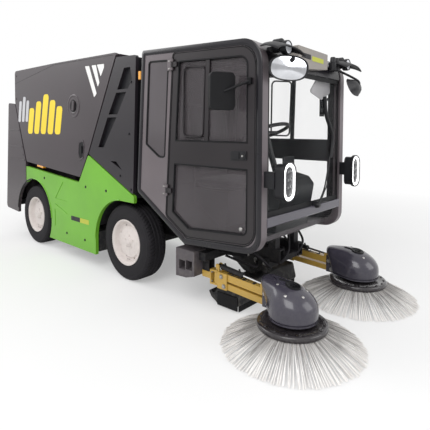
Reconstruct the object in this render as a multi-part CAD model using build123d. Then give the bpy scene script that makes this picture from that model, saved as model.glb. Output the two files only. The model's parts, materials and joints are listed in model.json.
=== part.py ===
"""Compact road sweeper: cab, tipping hopper, two front brushes on parallelogram arms.

Millimetres. +X forward, +Y to the vehicle's left, +Z up from the ground.
Everything is laid out from the front axle; the export moves the model so that its
origin is the centre of its footprint, on the ground.
"""
import os
from collections import namedtuple
from math import acos, atan2, cos, degrees, hypot, radians, sin, tan

from build123d import *

# ---------------------------------------------------------------- driving sizes
body_width = 1150.0
wheelbase = 1725.0
fit_gap = 0.3            # clearance between pieces that seat on each other
panel_thick = 30.0       # moulded side panels
half_width = body_width / 2

tyre_diameter = 666.0
tyre_width = 198.0
rim_seat_radius = 178.0
rim_lip_radius = 198.0
wheel_inset = 27.0       # tyre's outer face inside the body side
wheel_y = half_width - wheel_inset - tyre_width / 2
axle_z = tyre_diameter / 2
stub_radius = 25.0

rail_low = 350.0         # underside of the chassis rails
rail_high = 450.0
rail_inner = 100.0
rail_outer = 160.0
rail_rear = -2330.0
rail_front = 1330.0
rail_wall = 8.0

cab_frame_thick = 60.0   # pillars and rails of the cab side
door_thick = 40.0
door_gap = 6.0           # all round the door
glass_thick = 6.0
cab_inner = half_width - cab_frame_thick

hopper_wall = 25.0
hopper_gap = 12.0        # hopper to the column in front of it

brush_x = 1634.0
brush_y = half_width - 84
brush_radius = 449.0
brush_clearance = 3.0    # tips of the bristles above the ground
disc_radius = 216.0
disc_low = 128.0
disc_high = 150.0
hub_high = 188.0

arm_y = half_width - 125  # plane of the parallelogram bars
swing_x = 985.0          # upright swing pin of each arm

# ---------------------------------------------------------------- side outlines, (x, z)
cab_top_rear = (276.0, 1950.0)
cab_top_front = (1458.0, 1893.0)
cab_low_front = (1458.0, 530.0)
cab_low_mid = (767.0, 477.0)
cab_low_rear = (211.0, 809.0)
cab_outline = [cab_top_rear, cab_top_front, cab_low_front, cab_low_mid, cab_low_rear]
cab_radii = [20.0, 170.0, 130.0, 40.0, 45.0]

door_outline = [(653.0, 1880.0), (1398.0, 1844.0), (1398.0, 585.0), (795.0, 535.0), (577.0, 665.0)]
door_radii = [25.0, 125.0, 100.0, 40.0, 30.0]
door_frame_width = 58.0
waist_low = 1062.0
waist_high = 1235.0

hopper_outline = [(-2195.0, 2012.0), (-1213.0, 2006.0), (-84.0, 1982.0), (-540.0, 1108.0),
                  (-699.0, 850.0), (-1887.0, 937.0), (-2195.0, 1648.0)]
column_outline = [(-86.0, 1941.0), (191.0, 1929.0), (150.0, 772.0), (-535.0, 1082.0)]
skirt_rear = -wheelbase - 175
tail_front = -wheelbase - 191
skirt_outline = [(skirt_rear, 881.0), (-722.0, 796.0), (-547.0, 1072.0), (160.0, 757.0),
                 (160.0, 144.0), (skirt_rear, 144.0)]
floor_outline = [(1330.0, 548.0), (768.0, 484.0), (222.0, 810.0), (240.0, 842.0),
                 (780.0, 520.0), (1330.0, 584.0)]
console_outline = [(1180.0, 566.9), (1330.0, 584.4), (1385.0, 905.0), (1340.0, 960.0),
                   (1150.0, 1000.0)]
console_radii = [0.0, 0.0, 30.0, 40.0, 25.0]
tail_outline = [(-2200.0, 1620.0), (tail_front, 930.0), (tail_front, 300.0), (-2479.0, 331.0),
                (-2390.0, 1638.0)]
front_arch_radius = 396.0
front_arch = (-28.0, axle_z - 30)   # middle of the front wheel arch (x, z)
rear_arch_radius = 413.0
rear_arch_x = -wheelbase + 25
tail_arch_radius = 405.0
tip_pivot = (-2290.0, 1600.0)       # hopper's hinge line (x, z)

Bar = namedtuple("Bar", "name x z half_height")
bar_reach = (375.0, -19.0)          # from pin to pin, (x, z)
upper_bar = Bar("upper", 1050.0, 276.0, 25.0)
lower_bar = Bar("lower", 1075.0, 212.0, 21.0)
lift_base = (1005.0, 338.0)         # lift cylinder's pin on the swing bracket (x, z)
lift_eye = (1395.0, 301.0)          # its rod eye on the upper bar (x, z)
tip_base = (-2200.0, 560.0)         # tipping cylinder's pin on the chassis (x, z)
tip_eye = (-2204.0, 1560.0)         # its rod eye on the hopper (x, z)
tip_cylinder_y = half_width - 70

# chassis
post_inner = half_width - 135
post_outer = half_width - 105
tip_pin_radius = 18.0
cross_member_x = [-2290.0 + 40, -1400.0, -420.0, 1290.0]
outriggers = [(-1310.0, -1250.0), (-2312.0, -2168.0)]
cross_half = 30.0
cab_mounts = [(820.0, 55.0), (1260.0, 105.0)]   # x, height above the rails
tow_x = -2250.0
front_tow_x = 1290.0
tow_radius = 12.0
door_hinge = (-2199.0, hopper_outline[0][1] - 40)   # hopper door's hinge line (x, z)
cross_high = 40.0
battery_rear = -1240.0
battery_front = -440.0
battery_half = half_width - 45
battery_low = 160.0

# axles and wheels
kingpin_y = wheel_y - 124
kingpin_radius = 15.0
boss_radius = 32.0
boss_low = 292.0
boss_high = 380.0
yoke_low = 262.0
yoke_high = 410.0
beam_low = 270.0
beam_half = 42.0
steering_arm = 120.0
tie_rod_z = 305.0
stub_end = 30.0
tie_pin_radius = 8.0
tie_low = boss_low - 1.0
rear_beam_half = wheel_y - 119
slot_count = 8
slot_circle = 150.0
slot_radius = 9.0

# body sides
skirt_radii = [10.0, 30.0, 20.0, 20.0, 0.0, 0.0]
column_slots = [
    [(28.0, 1838.0), (112.0, 1838.0), (140.0, 1735.0), (82.0, 1660.0), (-72.0, 1660.0)],
    [(-88.0, 1634.0), (58.0, 1634.0), (-70.0, 1448.0), (-206.0, 1448.0)],
    [(-222.0, 1422.0), (-84.0, 1422.0), (-286.0, 1152.0), (-372.0, 1152.0)],
    [(-178.0, 1036.0), (-90.0, 1036.0), (-8.0, 968.0)],
]
pocket_deep = 4.0
skirt_pockets = [  # shallow pressings in the skirt
    [(-1205.0, 585.0), (-1040.0, 775.0), (-950.0, 580.0)],
    [(-1215.0, 525.0), (-948.0, 540.0), (-948.0, 450.0)],
    [(-1215.0, 470.0), (-960.0, 400.0), (-1215.0, 290.0)],
]
platform_low = 735.0
platform_high = 790.0
liner_inner = 300.0

# hopper and tail
hopper_door_height = 285.0
door_high = hopper_outline[0][1] - 42
door_low = door_high - hopper_door_height
duct_radius = 82.0
duct_clamp_x = [480.0, 120.0, -290.0]

# cab
quarter_outline = [(361.0, 1852.0), (590.0, 1840.0), (548.0, 1105.0), (480.0, 1105.0),
                   (325.0, 1200.0)]
quarter_radii = [25.0, 25.0, 20.0, 60.0, 20.0]
header_low = 1724.0
roof_outline = [(282.0, 1948.0), (1452.0, 1890.0), (1452.0, header_low), (1408.0, header_low),
                (1408.0, 1853.0), (282.0, 1908.0)]
roof_radii = [0.0, 165.0, 0.0, 0.0, 120.0, 0.0]
seat_back_thick = 90.0
seat_back_place = Pos(495, 0, 1240) * Rot(0, -8, 0)
glass_line = 1440.0      # outer face of the upper windscreen
cross_bar_low = 690.0
cross_bar_high = 757.0
hinge_out = 12.0         # hinge pin outside the door's face
headlamp = (1592.0, 82 - half_width, 998.0)   # middle of the near lens's back
headlamp_deep = 60.0
fitting_y = half_width - 135
hinge_zs = (856.0, 1800.0)
hinge_lean = (door_outline[0][0] - door_outline[-1][0]) / (door_outline[0][1] - door_outline[-1][1])

# brush gear
pin_radius = 10.0
plate_gap = 22.0         # half the width between a clevis's cheeks
cheek = 8.0
carrier_rear = 862.0
carrier_high = 284.0
bracket_low = 186.0
bracket_high = 302.0
horn_outline = [(1012.0, 294.0), (1022.0, 294.0), (1022.0, 342.0), (1012.0, 354.0), (996.0, 354.0),
                (988.0, 346.0), (988.0, 322.0), (1012.0, 312.0)]
tuft_count = 36
CoverSection = namedtuple("CoverSection", "z front_x front_radius rear_x rear_radius")
cover_wall = 9.0
cover_low = 184.0
cover_sections = [       # the hood leans back over the ends of the arms
    CoverSection(cover_low, 1640.0, 150.0, 1508.0, 70.0),
    CoverSection(250.0, 1640.0, 149.0, 1498.0, 76.0),
    CoverSection(300.0, 1628.0, 134.0, 1486.0, 80.0),
    CoverSection(340.0, 1604.0, 106.0, 1474.0, 78.0),
    CoverSection(364.0, 1572.0, 72.0, 1466.0, 62.0),
    CoverSection(374.0, 1540.0, 36.0, 1462.0, 34.0),
]


nodes = {}


# ---------------------------------------------------------------- helpers
def face_xz(outline, radii=None):
    """Flat face in the XZ plane from (x, z) corners, each corner rounded by its radius."""
    corners = [Vector(x, 0, z) for x, z in outline]
    radii = radii or [0.0] * len(corners)
    starts, ends, arcs = [], [], []
    for index, corner in enumerate(corners):
        back = (corners[index - 1] - corner).normalized()
        ahead = (corners[(index + 1) % len(corners)] - corner).normalized()
        half_angle = radians(back.get_angle(ahead)) / 2
        if radii[index] == 0:
            starts.append(corner)
            ends.append(corner)
            continue
        reach = radii[index] / tan(half_angle)
        centre = corner + (back + ahead).normalized() * (radii[index] / sin(half_angle))
        starts.append(corner + back * reach)
        ends.append(corner + ahead * reach)
        arcs.append(ThreePointArc(starts[-1], centre + (corner - centre).normalized() * radii[index],
                                  ends[-1]))
    lines = [Line(ends[index - 1], starts[index]) for index in range(len(corners))]
    return make_face(lines + arcs)


def slab(face, y_from, y_to):
    """Plate with the outline of an XZ face, from one Y to a greater Y."""
    return extrude(Pos(0, y_from, 0) * face, amount=y_to - y_from, dir=(0, 1, 0))


def right_plate(outline, radii, outer, thick):
    """Plate on the vehicle's right: outer face at -outer, thickness inwards."""
    return slab(face_xz(outline, radii), -outer, -outer + thick)


def block(x_low, x_high, y_low, y_high, z_low, z_high):
    """Box between two corners."""
    size = (x_high - x_low, y_high - y_low, z_high - z_low)
    return Pos((x_low + x_high) / 2, (y_low + y_high) / 2, (z_low + z_high) / 2) * Box(*size)


def rod_y(x, y_low, y_high, z, radius):
    """Round bar across the vehicle."""
    return Pos(x, (y_low + y_high) / 2, z) * Rot(90, 0, 0) * Cylinder(radius, y_high - y_low)


def rod_z(x, y, z_low, z_high, radius):
    """Upright round bar."""
    return Pos(x, y, (z_low + z_high) / 2) * Cylinder(radius, z_high - z_low)


def rod_between(start, end, radius):
    """Round bar between two points."""
    run = Vector(*end) - Vector(*start)
    plane = Plane(origin=start, z_dir=run)
    return extrude(plane * Circle(radius), amount=run.length)


def mirrored(shape):
    return mirror(shape, about=Plane.XZ)


def add(name, shape):
    nodes[name] = shape


def add_pair(name, shape):
    """A piece on the right and its mirror image on the left."""
    nodes[name + "_right"] = shape
    nodes[name + "_left"] = mirrored(shape)


def add_both(name, shape):
    """Right and left pieces of one body, kept as one node."""
    nodes[name] = shape + mirrored(shape)


def inset(outline, radii, amount):
    """Face of an outline shrunk by an amount (grown if it is negative)."""
    return offset(face_xz(outline, radii), -amount, kind=Kind.INTERSECTION)


# ---------------------------------------------------------------- chassis
def build_chassis():
    rails = []
    for side in (-1, 1):
        inner, outer = sorted((side * rail_inner, side * rail_outer))
        rail = block(rail_rear, rail_front, inner, outer, rail_low, rail_high)
        hollow = block(rail_rear - 1, rail_front + 1, inner + rail_wall, outer - rail_wall,
                       rail_low + rail_wall, rail_high - rail_wall)
        rails.append(rail - hollow)
    frame = rails[0] + rails[1]
    for x in cross_member_x:
        frame += block(x - cross_half, x + cross_half, -rail_inner, rail_inner,
                       rail_low, rail_low + cross_high)
    for x_low, x_high in outriggers:
        for side in (-1, 1):
            inner, outer = sorted((side * rail_outer, side * (half_width - panel_thick)))
            frame += block(x_low, x_high, inner, outer, rail_high - 60, rail_high)
    floor = slab(inset(floor_outline, None, -fit_gap), -half_width, half_width)
    for side in (-1, 1):
        inner, outer = sorted((side * rail_inner, side * rail_outer))
        for x, rise in cab_mounts:
            frame += block(x - 30, x + 30, inner, outer, rail_high, rail_high + rise) - floor
    subframe = block(870, 930, -arm_y - 70, -rail_outer, 365, 425)
    subframe += clevis_cheeks(870, 930, carrier_high, 366)
    frame += subframe + mirrored(subframe)
    for x in (tow_x, front_tow_x):
        frame -= rod_z(x, 0, rail_low - 1, rail_low + cross_high + 1, tow_radius)
    for side in (-1, 1):
        low, high = sorted((side * post_inner, side * post_outer))
        x, z = tip_pivot
        post = face_xz([(x - 40, rail_high), (x + 60, rail_high), (x + 32, z + 38), (x - 38, z + 38)],
                       [0, 0, 25, 25])
        frame += slab(post, low, high)
        frame -= rod_y(x, low - 1, high + 1, z, tip_pin_radius + fit_gap)
        for cross_z in (rail_high, 1420):
            frame += block(x - 30, x + 30, -post_inner, post_inner, cross_z, cross_z + 50)
    for y in (-tip_cylinder_y, tip_cylinder_y):
        x, z = tip_base
        for low, high in ((y - 22, y - 14), (y + 14, y + 22)):
            frame += block(x - 24, x + 24, low, high, rail_high, z + 24)
        frame += rod_y(x, y - 24, y + 24, z, 12)
    add("chassis_frame", frame)
    add("battery_pack", block(battery_rear, battery_front, -battery_half, battery_half,
                              battery_low, rail_low))


# ---------------------------------------------------------------- axles and wheels


def build_axles():
    beam = block(-beam_half, beam_half, -kingpin_y + 45, kingpin_y - 45, beam_low, rail_low)
    for side in (-1, 1):
        inner, outer = sorted((side * (kingpin_y - 45 - 12), side * (kingpin_y - 45)))
        beam += block(-beam_half, beam_half, inner, outer, yoke_low, yoke_high)
        for low, high in ((yoke_low, boss_low - 2), (boss_high + 2, yoke_high)):
            lug_inner, lug_outer = sorted((side * (kingpin_y - 45), side * kingpin_y))
            beam += block(-boss_radius, boss_radius, lug_inner, lug_outer, low, high)
            beam += rod_z(0, side * kingpin_y, low, high, boss_radius)
        beam -= rod_z(0, side * kingpin_y, yoke_low - 1, yoke_high + 1, kingpin_radius + fit_gap)

    knuckle = rod_z(0, -kingpin_y, boss_low, boss_high, boss_radius)
    knuckle += rod_z(0, -kingpin_y, yoke_low - 6, yoke_high + 6, kingpin_radius)
    knuckle += rod_y(0, -wheel_y - stub_end, -kingpin_y, axle_z, stub_radius)
    knuckle += block(-steering_arm, 0, -kingpin_y - 12, -kingpin_y + 12, boss_low, boss_low + 30)
    knuckle += rod_z(-steering_arm, -kingpin_y, boss_low, boss_low + 30, 20)
    knuckle -= rod_z(-steering_arm, -kingpin_y, boss_low - 1, boss_low + 31, tie_pin_radius + fit_gap)
    add_pair("steering_knuckle", knuckle)

    tie = rod_y(-steering_arm, -kingpin_y, kingpin_y, tie_low - 12, 11)
    for side in (-1, 1):
        tie += rod_z(-steering_arm, side * kingpin_y, tie_low - 24, tie_low - 0, 20)
        tie += rod_z(-steering_arm, side * kingpin_y, tie_low - 1, boss_low + 34, tie_pin_radius)
    add("tie_rod", tie)

    rear = block(-wheelbase - beam_half, -wheelbase + beam_half, -rear_beam_half, rear_beam_half,
                 beam_low, rail_low)
    for side in (-1, 1):
        low, high = sorted((side * (rear_beam_half - 40), side * (wheel_y + stub_end)))
        rear += rod_y(-wheelbase, low, high, axle_z, stub_radius)
    add("axle_beams", beam + rear)


def build_wheels():
    """Tyre and steel wheel as profiles turned about the axle, radius against offset."""
    half = tyre_width / 2
    tread = tyre_diameter / 2
    shoulder = [(rim_seat_radius + fit_gap, 70), (rim_seat_radius + fit_gap + 14, 82),
                (rim_lip_radius + 2, 90), (rim_lip_radius + 30, half - 2), (262, half),
                (300, half - 5), (tread - 12, half - 14), (tread - 3, half - 32), (tread, half - 60)]
    tyre_profile = shoulder + [(radius, -t) for radius, t in reversed(shoulder)]
    rim_profile = [(0, 36), (0, 70), (34, 70), (42, 60), (62, 56), (136, 50), (150, 42),
                   (168, 44), (180, 82), (188, 94), (rim_lip_radius, 94), (rim_lip_radius, 88),
                   (rim_seat_radius, 72), (rim_seat_radius, -72), (rim_lip_radius, -88),
                   (rim_lip_radius, -94), (190, -94), (170, -76), (170, 30), (150, 28), (70, 38),
                   (60, -25), (stub_radius + fit_gap, -25), (stub_radius + fit_gap, 36)]
    for place, x in (("front", 0.0), ("rear", -wheelbase)):
        for name, profile in (("tyre", tyre_profile), ("wheel", rim_profile)):
            face = make_face(Polyline(*[(radius, -t, 0) for radius, t in profile], close=True))
            turned = revolve(face, Axis.Y, 360)
            if name == "wheel":
                for step in range(slot_count):
                    angle = 360 * (step + 0.5) / slot_count
                    slot = Pos(slot_circle, 0, 0) * Rot(90, 0, 0) * Cylinder(slot_radius, 140)
                    turned -= Rot(0, angle, 0) * slot
            add_pair(f"{name}_{place}", Pos(x, -wheel_y, axle_z) * turned)


# ---------------------------------------------------------------- body sides


def build_sides():
    skirt = right_plate(skirt_outline, skirt_radii, half_width, panel_thick)
    through = (-half_width - 1, -half_width + panel_thick + 1)
    arch_x, arch_z = front_arch
    skirt -= rod_y(arch_x, *through, arch_z, front_arch_radius)
    skirt -= block(arch_x - front_arch_radius, arch_x, *through, 0, arch_z)
    skirt -= block(arch_x, 170, *through, 0, arch_z + front_arch_radius)
    skirt -= rod_y(rear_arch_x, *through, axle_z, rear_arch_radius)
    skirt -= block(skirt_rear - 1, rear_arch_x, *through, 0, 600)
    for pocket in skirt_pockets:
        skirt -= slab(face_xz(pocket), -half_width - 1, -half_width + pocket_deep)
    add_both("side_skirts", skirt)

    column = right_plate(column_outline, [18.0, 18.0, 12.0, 12.0], half_width, panel_thick)
    for slot in column_slots:
        column -= slab(face_xz(slot), *through)
    add_both("column_panels", column)
    housing = face_xz([(-105.0, 1915.0), (185.0, 1903.0), (143.0, 790.0), (-420.0, 790.0),
                       (-525.0, 1098.0)])
    inner = half_width - panel_thick
    add("fan_housing", slab(housing, -inner, inner))
    platform = block(-425, 150, -inner, inner, platform_low, platform_high)
    for x in (-360.0, 100.0):
        for side in (-1, 1):
            low, high = sorted((side * rail_inner, side * rail_outer))
            platform += block(x - 30, x + 30, low, high, rail_high, platform_low)
    for side in (-1, 1):
        low, high = sorted((side * 200, side * 260))
        platform += block(145, 250, low, high, platform_low, platform_high + 3)
    liner_radius = front_arch_radius + 3
    liner = rod_y(arch_x, -inner + fit_gap, -liner_inner, arch_z, liner_radius)
    liner -= rod_y(arch_x, -inner - 1, -liner_inner + 1, arch_z, liner_radius - 4)
    liner &= block(arch_x - liner_radius, 60, -inner, -liner_inner, 420, platform_low + 1)
    add("body_platform", platform + liner + mirrored(liner))


# ---------------------------------------------------------------- hopper and tail
def build_hopper():
    wall = hopper_wall
    half = half_width
    side = right_plate(hopper_outline, [40.0, 60.0, 14.0, 14.0, 30.0, 30.0, 14.0], half, wall)
    add_both("hopper_sides", side)
    shell = inset(hopper_outline, None, 6)
    core = inset(hopper_outline, None, 6 + wall)
    band = slab(shell - core, -half + wall, half - wall)
    door_zone = block(-2300, -2195 + 6 + wall, -half, half, door_low - 5, door_high + 5)
    band -= door_zone
    inlet = rod_between((-500, 0, 905), (-760, 0, 1055), duct_radius - 8)
    band -= inlet
    x, z = tip_pivot
    for side in (-1, 1):
        low, high = sorted((side * (post_inner - 30), side * (post_inner - 5)))
        band += slab(face_xz([(x - 28, z - 28), (-2150, 1548), (-2172, 1664), (x - 28, z + 28)],
                             [27, 0, 0, 27]), low, high)
        low, high = sorted((side * (post_inner - 30), side * (post_outer + 2)))
        band += rod_y(x, low, high, z, tip_pin_radius)
        x_eye, z_eye = tip_eye
        for y_low in (tip_cylinder_y - 22, tip_cylinder_y + 14):
            low, high = sorted((side * y_low, side * (y_low + 8)))
            band += slab(face_xz([(x_eye - 18, z_eye - 18), (-2120, 1500), (-2150, 1600),
                                  (x_eye - 18, z_eye + 18)], [17, 0, 0, 17]), low, high)
        low, high = sorted((side * (tip_cylinder_y - 22), side * (tip_cylinder_y + 22)))
        band += rod_y(x_eye, low, high, z_eye, 8)
    door = block(-2193, -2168, -half + wall + 5, half - wall - 5, door_low, door_high)
    x, z = door_hinge
    for y in (-330, 330):
        door += rod_y(x, y - 30, y + 30, z, 9) + block(x, -2180, y - 30, y + 30, z - 30, z - 4)
        door -= rod_y(x, y - 31, y + 31, z, 5 + fit_gap)
        band += rod_y(x, y - 60, y + 60, z, 5)
        for low in (y - 60, y + 35):
            door -= rod_y(x, low - 3, low + 28, z, 12)
            band += rod_y(x, low, low + 25, z, 9) + block(x, -2185, low, low + 25, z + 4, z + 28)
    add("hopper_shell", band)
    add("hopper_door", door)


def build_tail():
    panel = right_plate(tail_outline, [20.0, 30.0, 60.0, 50.0, 30.0], half_width, panel_thick)
    panel -= rod_y(-wheelbase, -half_width - 1, -half_width + panel_thick + 1, axle_z,
                   tail_arch_radius)
    add_both("tail_sides", panel)
    inner = half_width - panel_thick
    rear = face_xz([(-2386.0, 1600.0), (-2356.0, 1600.0), (-2444.0, 345.0), (-2474.0, 345.0)])
    add("tail_panel", slab(rear, -inner, inner))
    lamp = face_xz([(-2453.6, 640.0), (-2448.0, 720.0), (-2464.0, 720.0), (-2469.6, 640.0)])
    add_both("tail_lamps", slab(lamp, -inner + 20, -inner + 150))


# ---------------------------------------------------------------- cab


def hinge_x(z):
    """The door's hinge line leans forward with its rear edge."""
    return door_outline[0][0] - (door_outline[0][1] - z) * hinge_lean - door_gap / 2


def build_cab():
    side = -half_width
    door_face = face_xz(door_outline, door_radii)
    quarter_face = face_xz(quarter_outline, quarter_radii)
    frame = right_plate(cab_outline, cab_radii, half_width, cab_frame_thick)
    frame -= slab(offset(door_face, door_gap), side - 1, side + cab_frame_thick + 1)
    frame -= slab(quarter_face, side - 1, side + cab_frame_thick + 1)
    quarter = slab(offset(quarter_face, -fit_gap), side + 8, side + 8 + glass_thick)

    door = slab(door_face, side, side + door_thick)
    pane = offset(door_face, -door_frame_width)
    upper = block(0, 2000, side - 1, side + door_thick + 1, waist_high, 2000)
    lower = block(0, 2000, side - 1, side + door_thick + 1, 0, waist_low)
    opening = slab(pane, side - 1, side + door_thick + 1)
    door -= opening & upper
    door -= opening & lower
    hinges = None
    for z in hinge_zs:
        axis = Plane(origin=(hinge_x(z), side - hinge_out, z), z_dir=(hinge_lean, 0, 1))
        barrel = extrude(axis * Circle(10), amount=20, both=True)
        leaf = block(hinge_x(z), hinge_x(z) + 50, side - hinge_out - 3, side, z - 18, z + 18)
        door += (barrel + leaf) - extrude(axis * Circle(5 + fit_gap), amount=30, both=True)
        outer = extrude(axis * Circle(10), amount=42, both=True)
        outer -= extrude(axis * Circle(10.5), amount=22, both=True)
        plates = block(hinge_x(z) - 50, hinge_x(z), side - hinge_out - 3, side, z - 40, z + 40)
        plates -= block(hinge_x(z) - 14, hinge_x(z) + 1, side - 40, side, z - 24, z + 24)
        pin = extrude(axis * Circle(5), amount=42, both=True)
        hinge = outer + plates + pin
        hinges = hinge if hinges is None else hinges + hinge
    add_pair("door_frame", door)
    add_both("cab_sides", frame + hinges)
    mid = side + 16
    trimmed = slab(offset(pane, -fit_gap), mid, mid + glass_thick)
    panes = trimmed & block(0, 2000, side, 0, waist_high + fit_gap, 2000)
    panes += trimmed & block(0, 2000, side, 0, 0, waist_low - fit_gap)
    add_pair("door_glass", panes)

    add("cab_roof", slab(face_xz(roof_outline, roof_radii), -cab_inner, cab_inner))
    tub = slab(face_xz(floor_outline), -cab_inner, cab_inner)
    wall = face_xz([(222.0, 810.0), (250.0, 800.0), (312.0, 1905.0), (282.0, 1906.0)])
    tub += slab(wall, -cab_inner, cab_inner)
    tub += block(540, 840, -170, 170, 540, 700) + block(480, 860, -190, 190, 690, 830)
    tub += seat_back_place * Pos(-seat_back_thick / 2 - fit_gap - 6, 0, -55) * Box(12, 380, 710)
    add("cab_tub", tub)
    bar = block(1400, 1462, -cab_inner, cab_inner, cross_bar_low, cross_bar_high)
    add("front_cross_bar", fillet(bar.edges().filter_by(Axis.Y), 12))
    screen = block(glass_line - glass_thick, glass_line, -cab_inner + fit_gap,
                   cab_inner - fit_gap, cross_bar_high, header_low)
    low_glass = face_xz([(1452.0, cross_bar_low), (1452.0, 546.0), (1330.3, 546.0),
                         (1330.3, 553.0), (1445.0, 553.0), (1445.0, cross_bar_low)],
                        [0, 118, 0, 0, 111, 0])
    low_screen = slab(low_glass, -cab_inner + fit_gap, cab_inner - fit_gap)
    add("cab_glass", screen + low_screen + quarter + mirrored(quarter))


def build_interior():
    cushion = fillet(block(520, 940, -240, 240, 830, 930).edges(), 30)
    back = seat_back_place * Box(seat_back_thick, 460, 600)
    add("seat_pads", cushion + fillet(back.edges(), 25))
    add("dash_console", slab(face_xz(console_outline, console_radii), -230, 230))
    ring = Plane(origin=(1080, 0, 1300), z_dir=(-0.35, 0, 0.937))
    wheel = ring * Torus(185, 14)
    spokes = ring * Box(30, 360, 12)
    column = rod_between((1205, 0, 930), (1080, 0, 1300), 24)
    column -= slab(inset(console_outline, None, -fit_gap), -230, 230)
    add("steering_wheel", wheel + spokes + column)


def build_front():
    lamp_x, lamp_y, lamp_z = headlamp
    housing = block(lamp_x - headlamp_deep, lamp_x, lamp_y - 52, lamp_y + 52, lamp_z - 110,
                    lamp_z + 110)
    housing = fillet(housing.edges().filter_by(Axis.X), 40)
    mount = block(cab_top_front[0], lamp_x - headlamp_deep, lamp_y - 60, lamp_y - 25,
                  lamp_z - 40, lamp_z + 60)
    add_both("headlamps", housing + mount)
    lens = Pos(*headlamp) * Rot(0, 90, 0) * RectangleRounded(216, 100, 46)
    add_both("headlamp_lenses", extrude(lens, amount=10, dir=(1, 0, 0)))
    mirror_plane = Plane(origin=(1195, -half_width - 93, 1562), x_dir=(0.455, 0.89, 0),
                         z_dir=(0.89, -0.455, 0))
    shell = extrude(mirror_plane * RectangleRounded(170, 240, 30), amount=40)
    arm = rod_between((1362, -half_width - 12, 1625), (1232, -half_width - 101, 1560), 9)
    foot = block(1348, 1378, -half_width - 18, -half_width, 1605, 1645)
    add_pair("door_mirror", shell + arm + foot)
    lamp = Pos(1482, -fitting_y, 1850) * Rot(0, 90, 0) * Cylinder(44, 50)
    roof = slab(face_xz(roof_outline, roof_radii), -cab_inner, cab_inner)
    foot = block(1410, 1460, -fitting_y - 20, -fitting_y + 20, 1812, 1848) - Pos(fit_gap, 0, 0) * roof
    add_both("front_fittings", lamp + foot)


# ---------------------------------------------------------------- brush gear


def clevis_cheeks(x_low, x_high, z_low, z_high):
    pair = block(x_low, x_high, -arm_y - plate_gap - 2 - cheek, -arm_y - plate_gap - 2, z_low, z_high)
    return pair + block(x_low, x_high, -arm_y + plate_gap + 2, -arm_y + plate_gap + 2 + cheek,
                        z_low, z_high)


def bar_end(bar):
    return bar.x + bar_reach[0], bar.z + bar_reach[1]


def build_arms():
    carrier = block(carrier_rear, 948, -arm_y - 30, -arm_y + 30, 236, carrier_high)
    carrier += block(936, 948, -arm_y - 26, -arm_y + 26, 196, 304)
    for low in (196, 292):
        carrier += block(948, swing_x, -arm_y - 24, -arm_y + 24, low, low + 12)
        carrier += rod_z(swing_x, -arm_y, low, low + 12, 24)
    carrier += rod_z(swing_x, -arm_y, 190, 310, 12)
    add_both("arm_carriers", carrier)

    bracket = rod_z(swing_x, -arm_y, 210, 290, 22) + block(swing_x, 1020, -arm_y - 22, -arm_y + 22, 210, 290)
    bracket -= rod_z(swing_x, -arm_y, 200, 300, 12 + fit_gap)
    bracket += block(1012, 1022, -arm_y - 32, -arm_y + 32, bracket_low, bracket_high)
    bracket += clevis_cheeks(1012, 1100, bracket_low, bracket_high)
    horn = face_xz(horn_outline)
    for low in (-arm_y - plate_gap, -arm_y + 14):
        bracket += slab(horn, low, low + cheek)
    bracket += rod_y(lift_base[0], -arm_y - plate_gap, -arm_y + plate_gap, lift_base[1], 7)
    for bar in (upper_bar, lower_bar):
        bracket += rod_y(bar.x, -arm_y - 34, -arm_y + 34, bar.z, pin_radius)
    add_pair("swing_bracket", bracket)

    for bar in (upper_bar, lower_bar):
        end_x, end_z = bar_end(bar)
        tilt = degrees(atan2(-bar_reach[1], bar_reach[0]))
        length = hypot(*bar_reach)
        outline = Pos(length / 2, 0, 0) * SlotCenterToCenter(length, 2 * bar.half_height)
        shape = Rot(0, tilt, 0) * slab(Rot(90, 0, 0) * outline, -plate_gap, plate_gap)
        shape = Pos(bar.x, -arm_y, bar.z) * shape
        if bar.name == "upper":
            shape += block(lift_eye[0] - 14, lift_eye[0] + 14, -arm_y - plate_gap, -arm_y - 14, 260, 311)
            shape += block(lift_eye[0] - 14, lift_eye[0] + 14, -arm_y + 14, -arm_y + plate_gap, 260, 311)
            shape += rod_y(lift_eye[0], -arm_y - plate_gap, -arm_y + plate_gap, lift_eye[1], 7)
        for x, z in ((bar.x, bar.z), (end_x, end_z)):
            shape -= rod_y(x, -arm_y - 50, -arm_y + 50, z, pin_radius + fit_gap)
        add_pair(f"arm_bar_{bar.name}", shape)


def cover_outline(section, shrink=0.0, drop=0.0):
    """Teardrop outline of the motor cover: two circles joined by their tangents."""
    front = Vector(section.front_x, -brush_y)
    rear = Vector(section.rear_x, -brush_y + 33)
    run = rear - front
    front_radius = section.front_radius - shrink
    rear_radius = section.rear_radius - shrink
    lean = degrees(acos((front_radius - rear_radius) / run.length))
    heading = degrees(atan2(run.Y, run.X))
    points = []
    for centre, radius in ((front, front_radius), (rear, rear_radius)):
        for turn in (lean, -lean):
            angle = radians(heading + turn)
            points.append(centre + Vector(cos(angle), sin(angle)) * radius)
    front_a, front_b, rear_a, rear_b = points
    nose = front - run.normalized() * front_radius
    tip = rear + run.normalized() * rear_radius
    outline = make_face([ThreePointArc(front_a, nose, front_b), Line(front_b, rear_b),
                         ThreePointArc(rear_b, tip, rear_a), Line(rear_a, front_a)])
    return Pos(0, 0, section.z - drop) * outline


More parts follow.
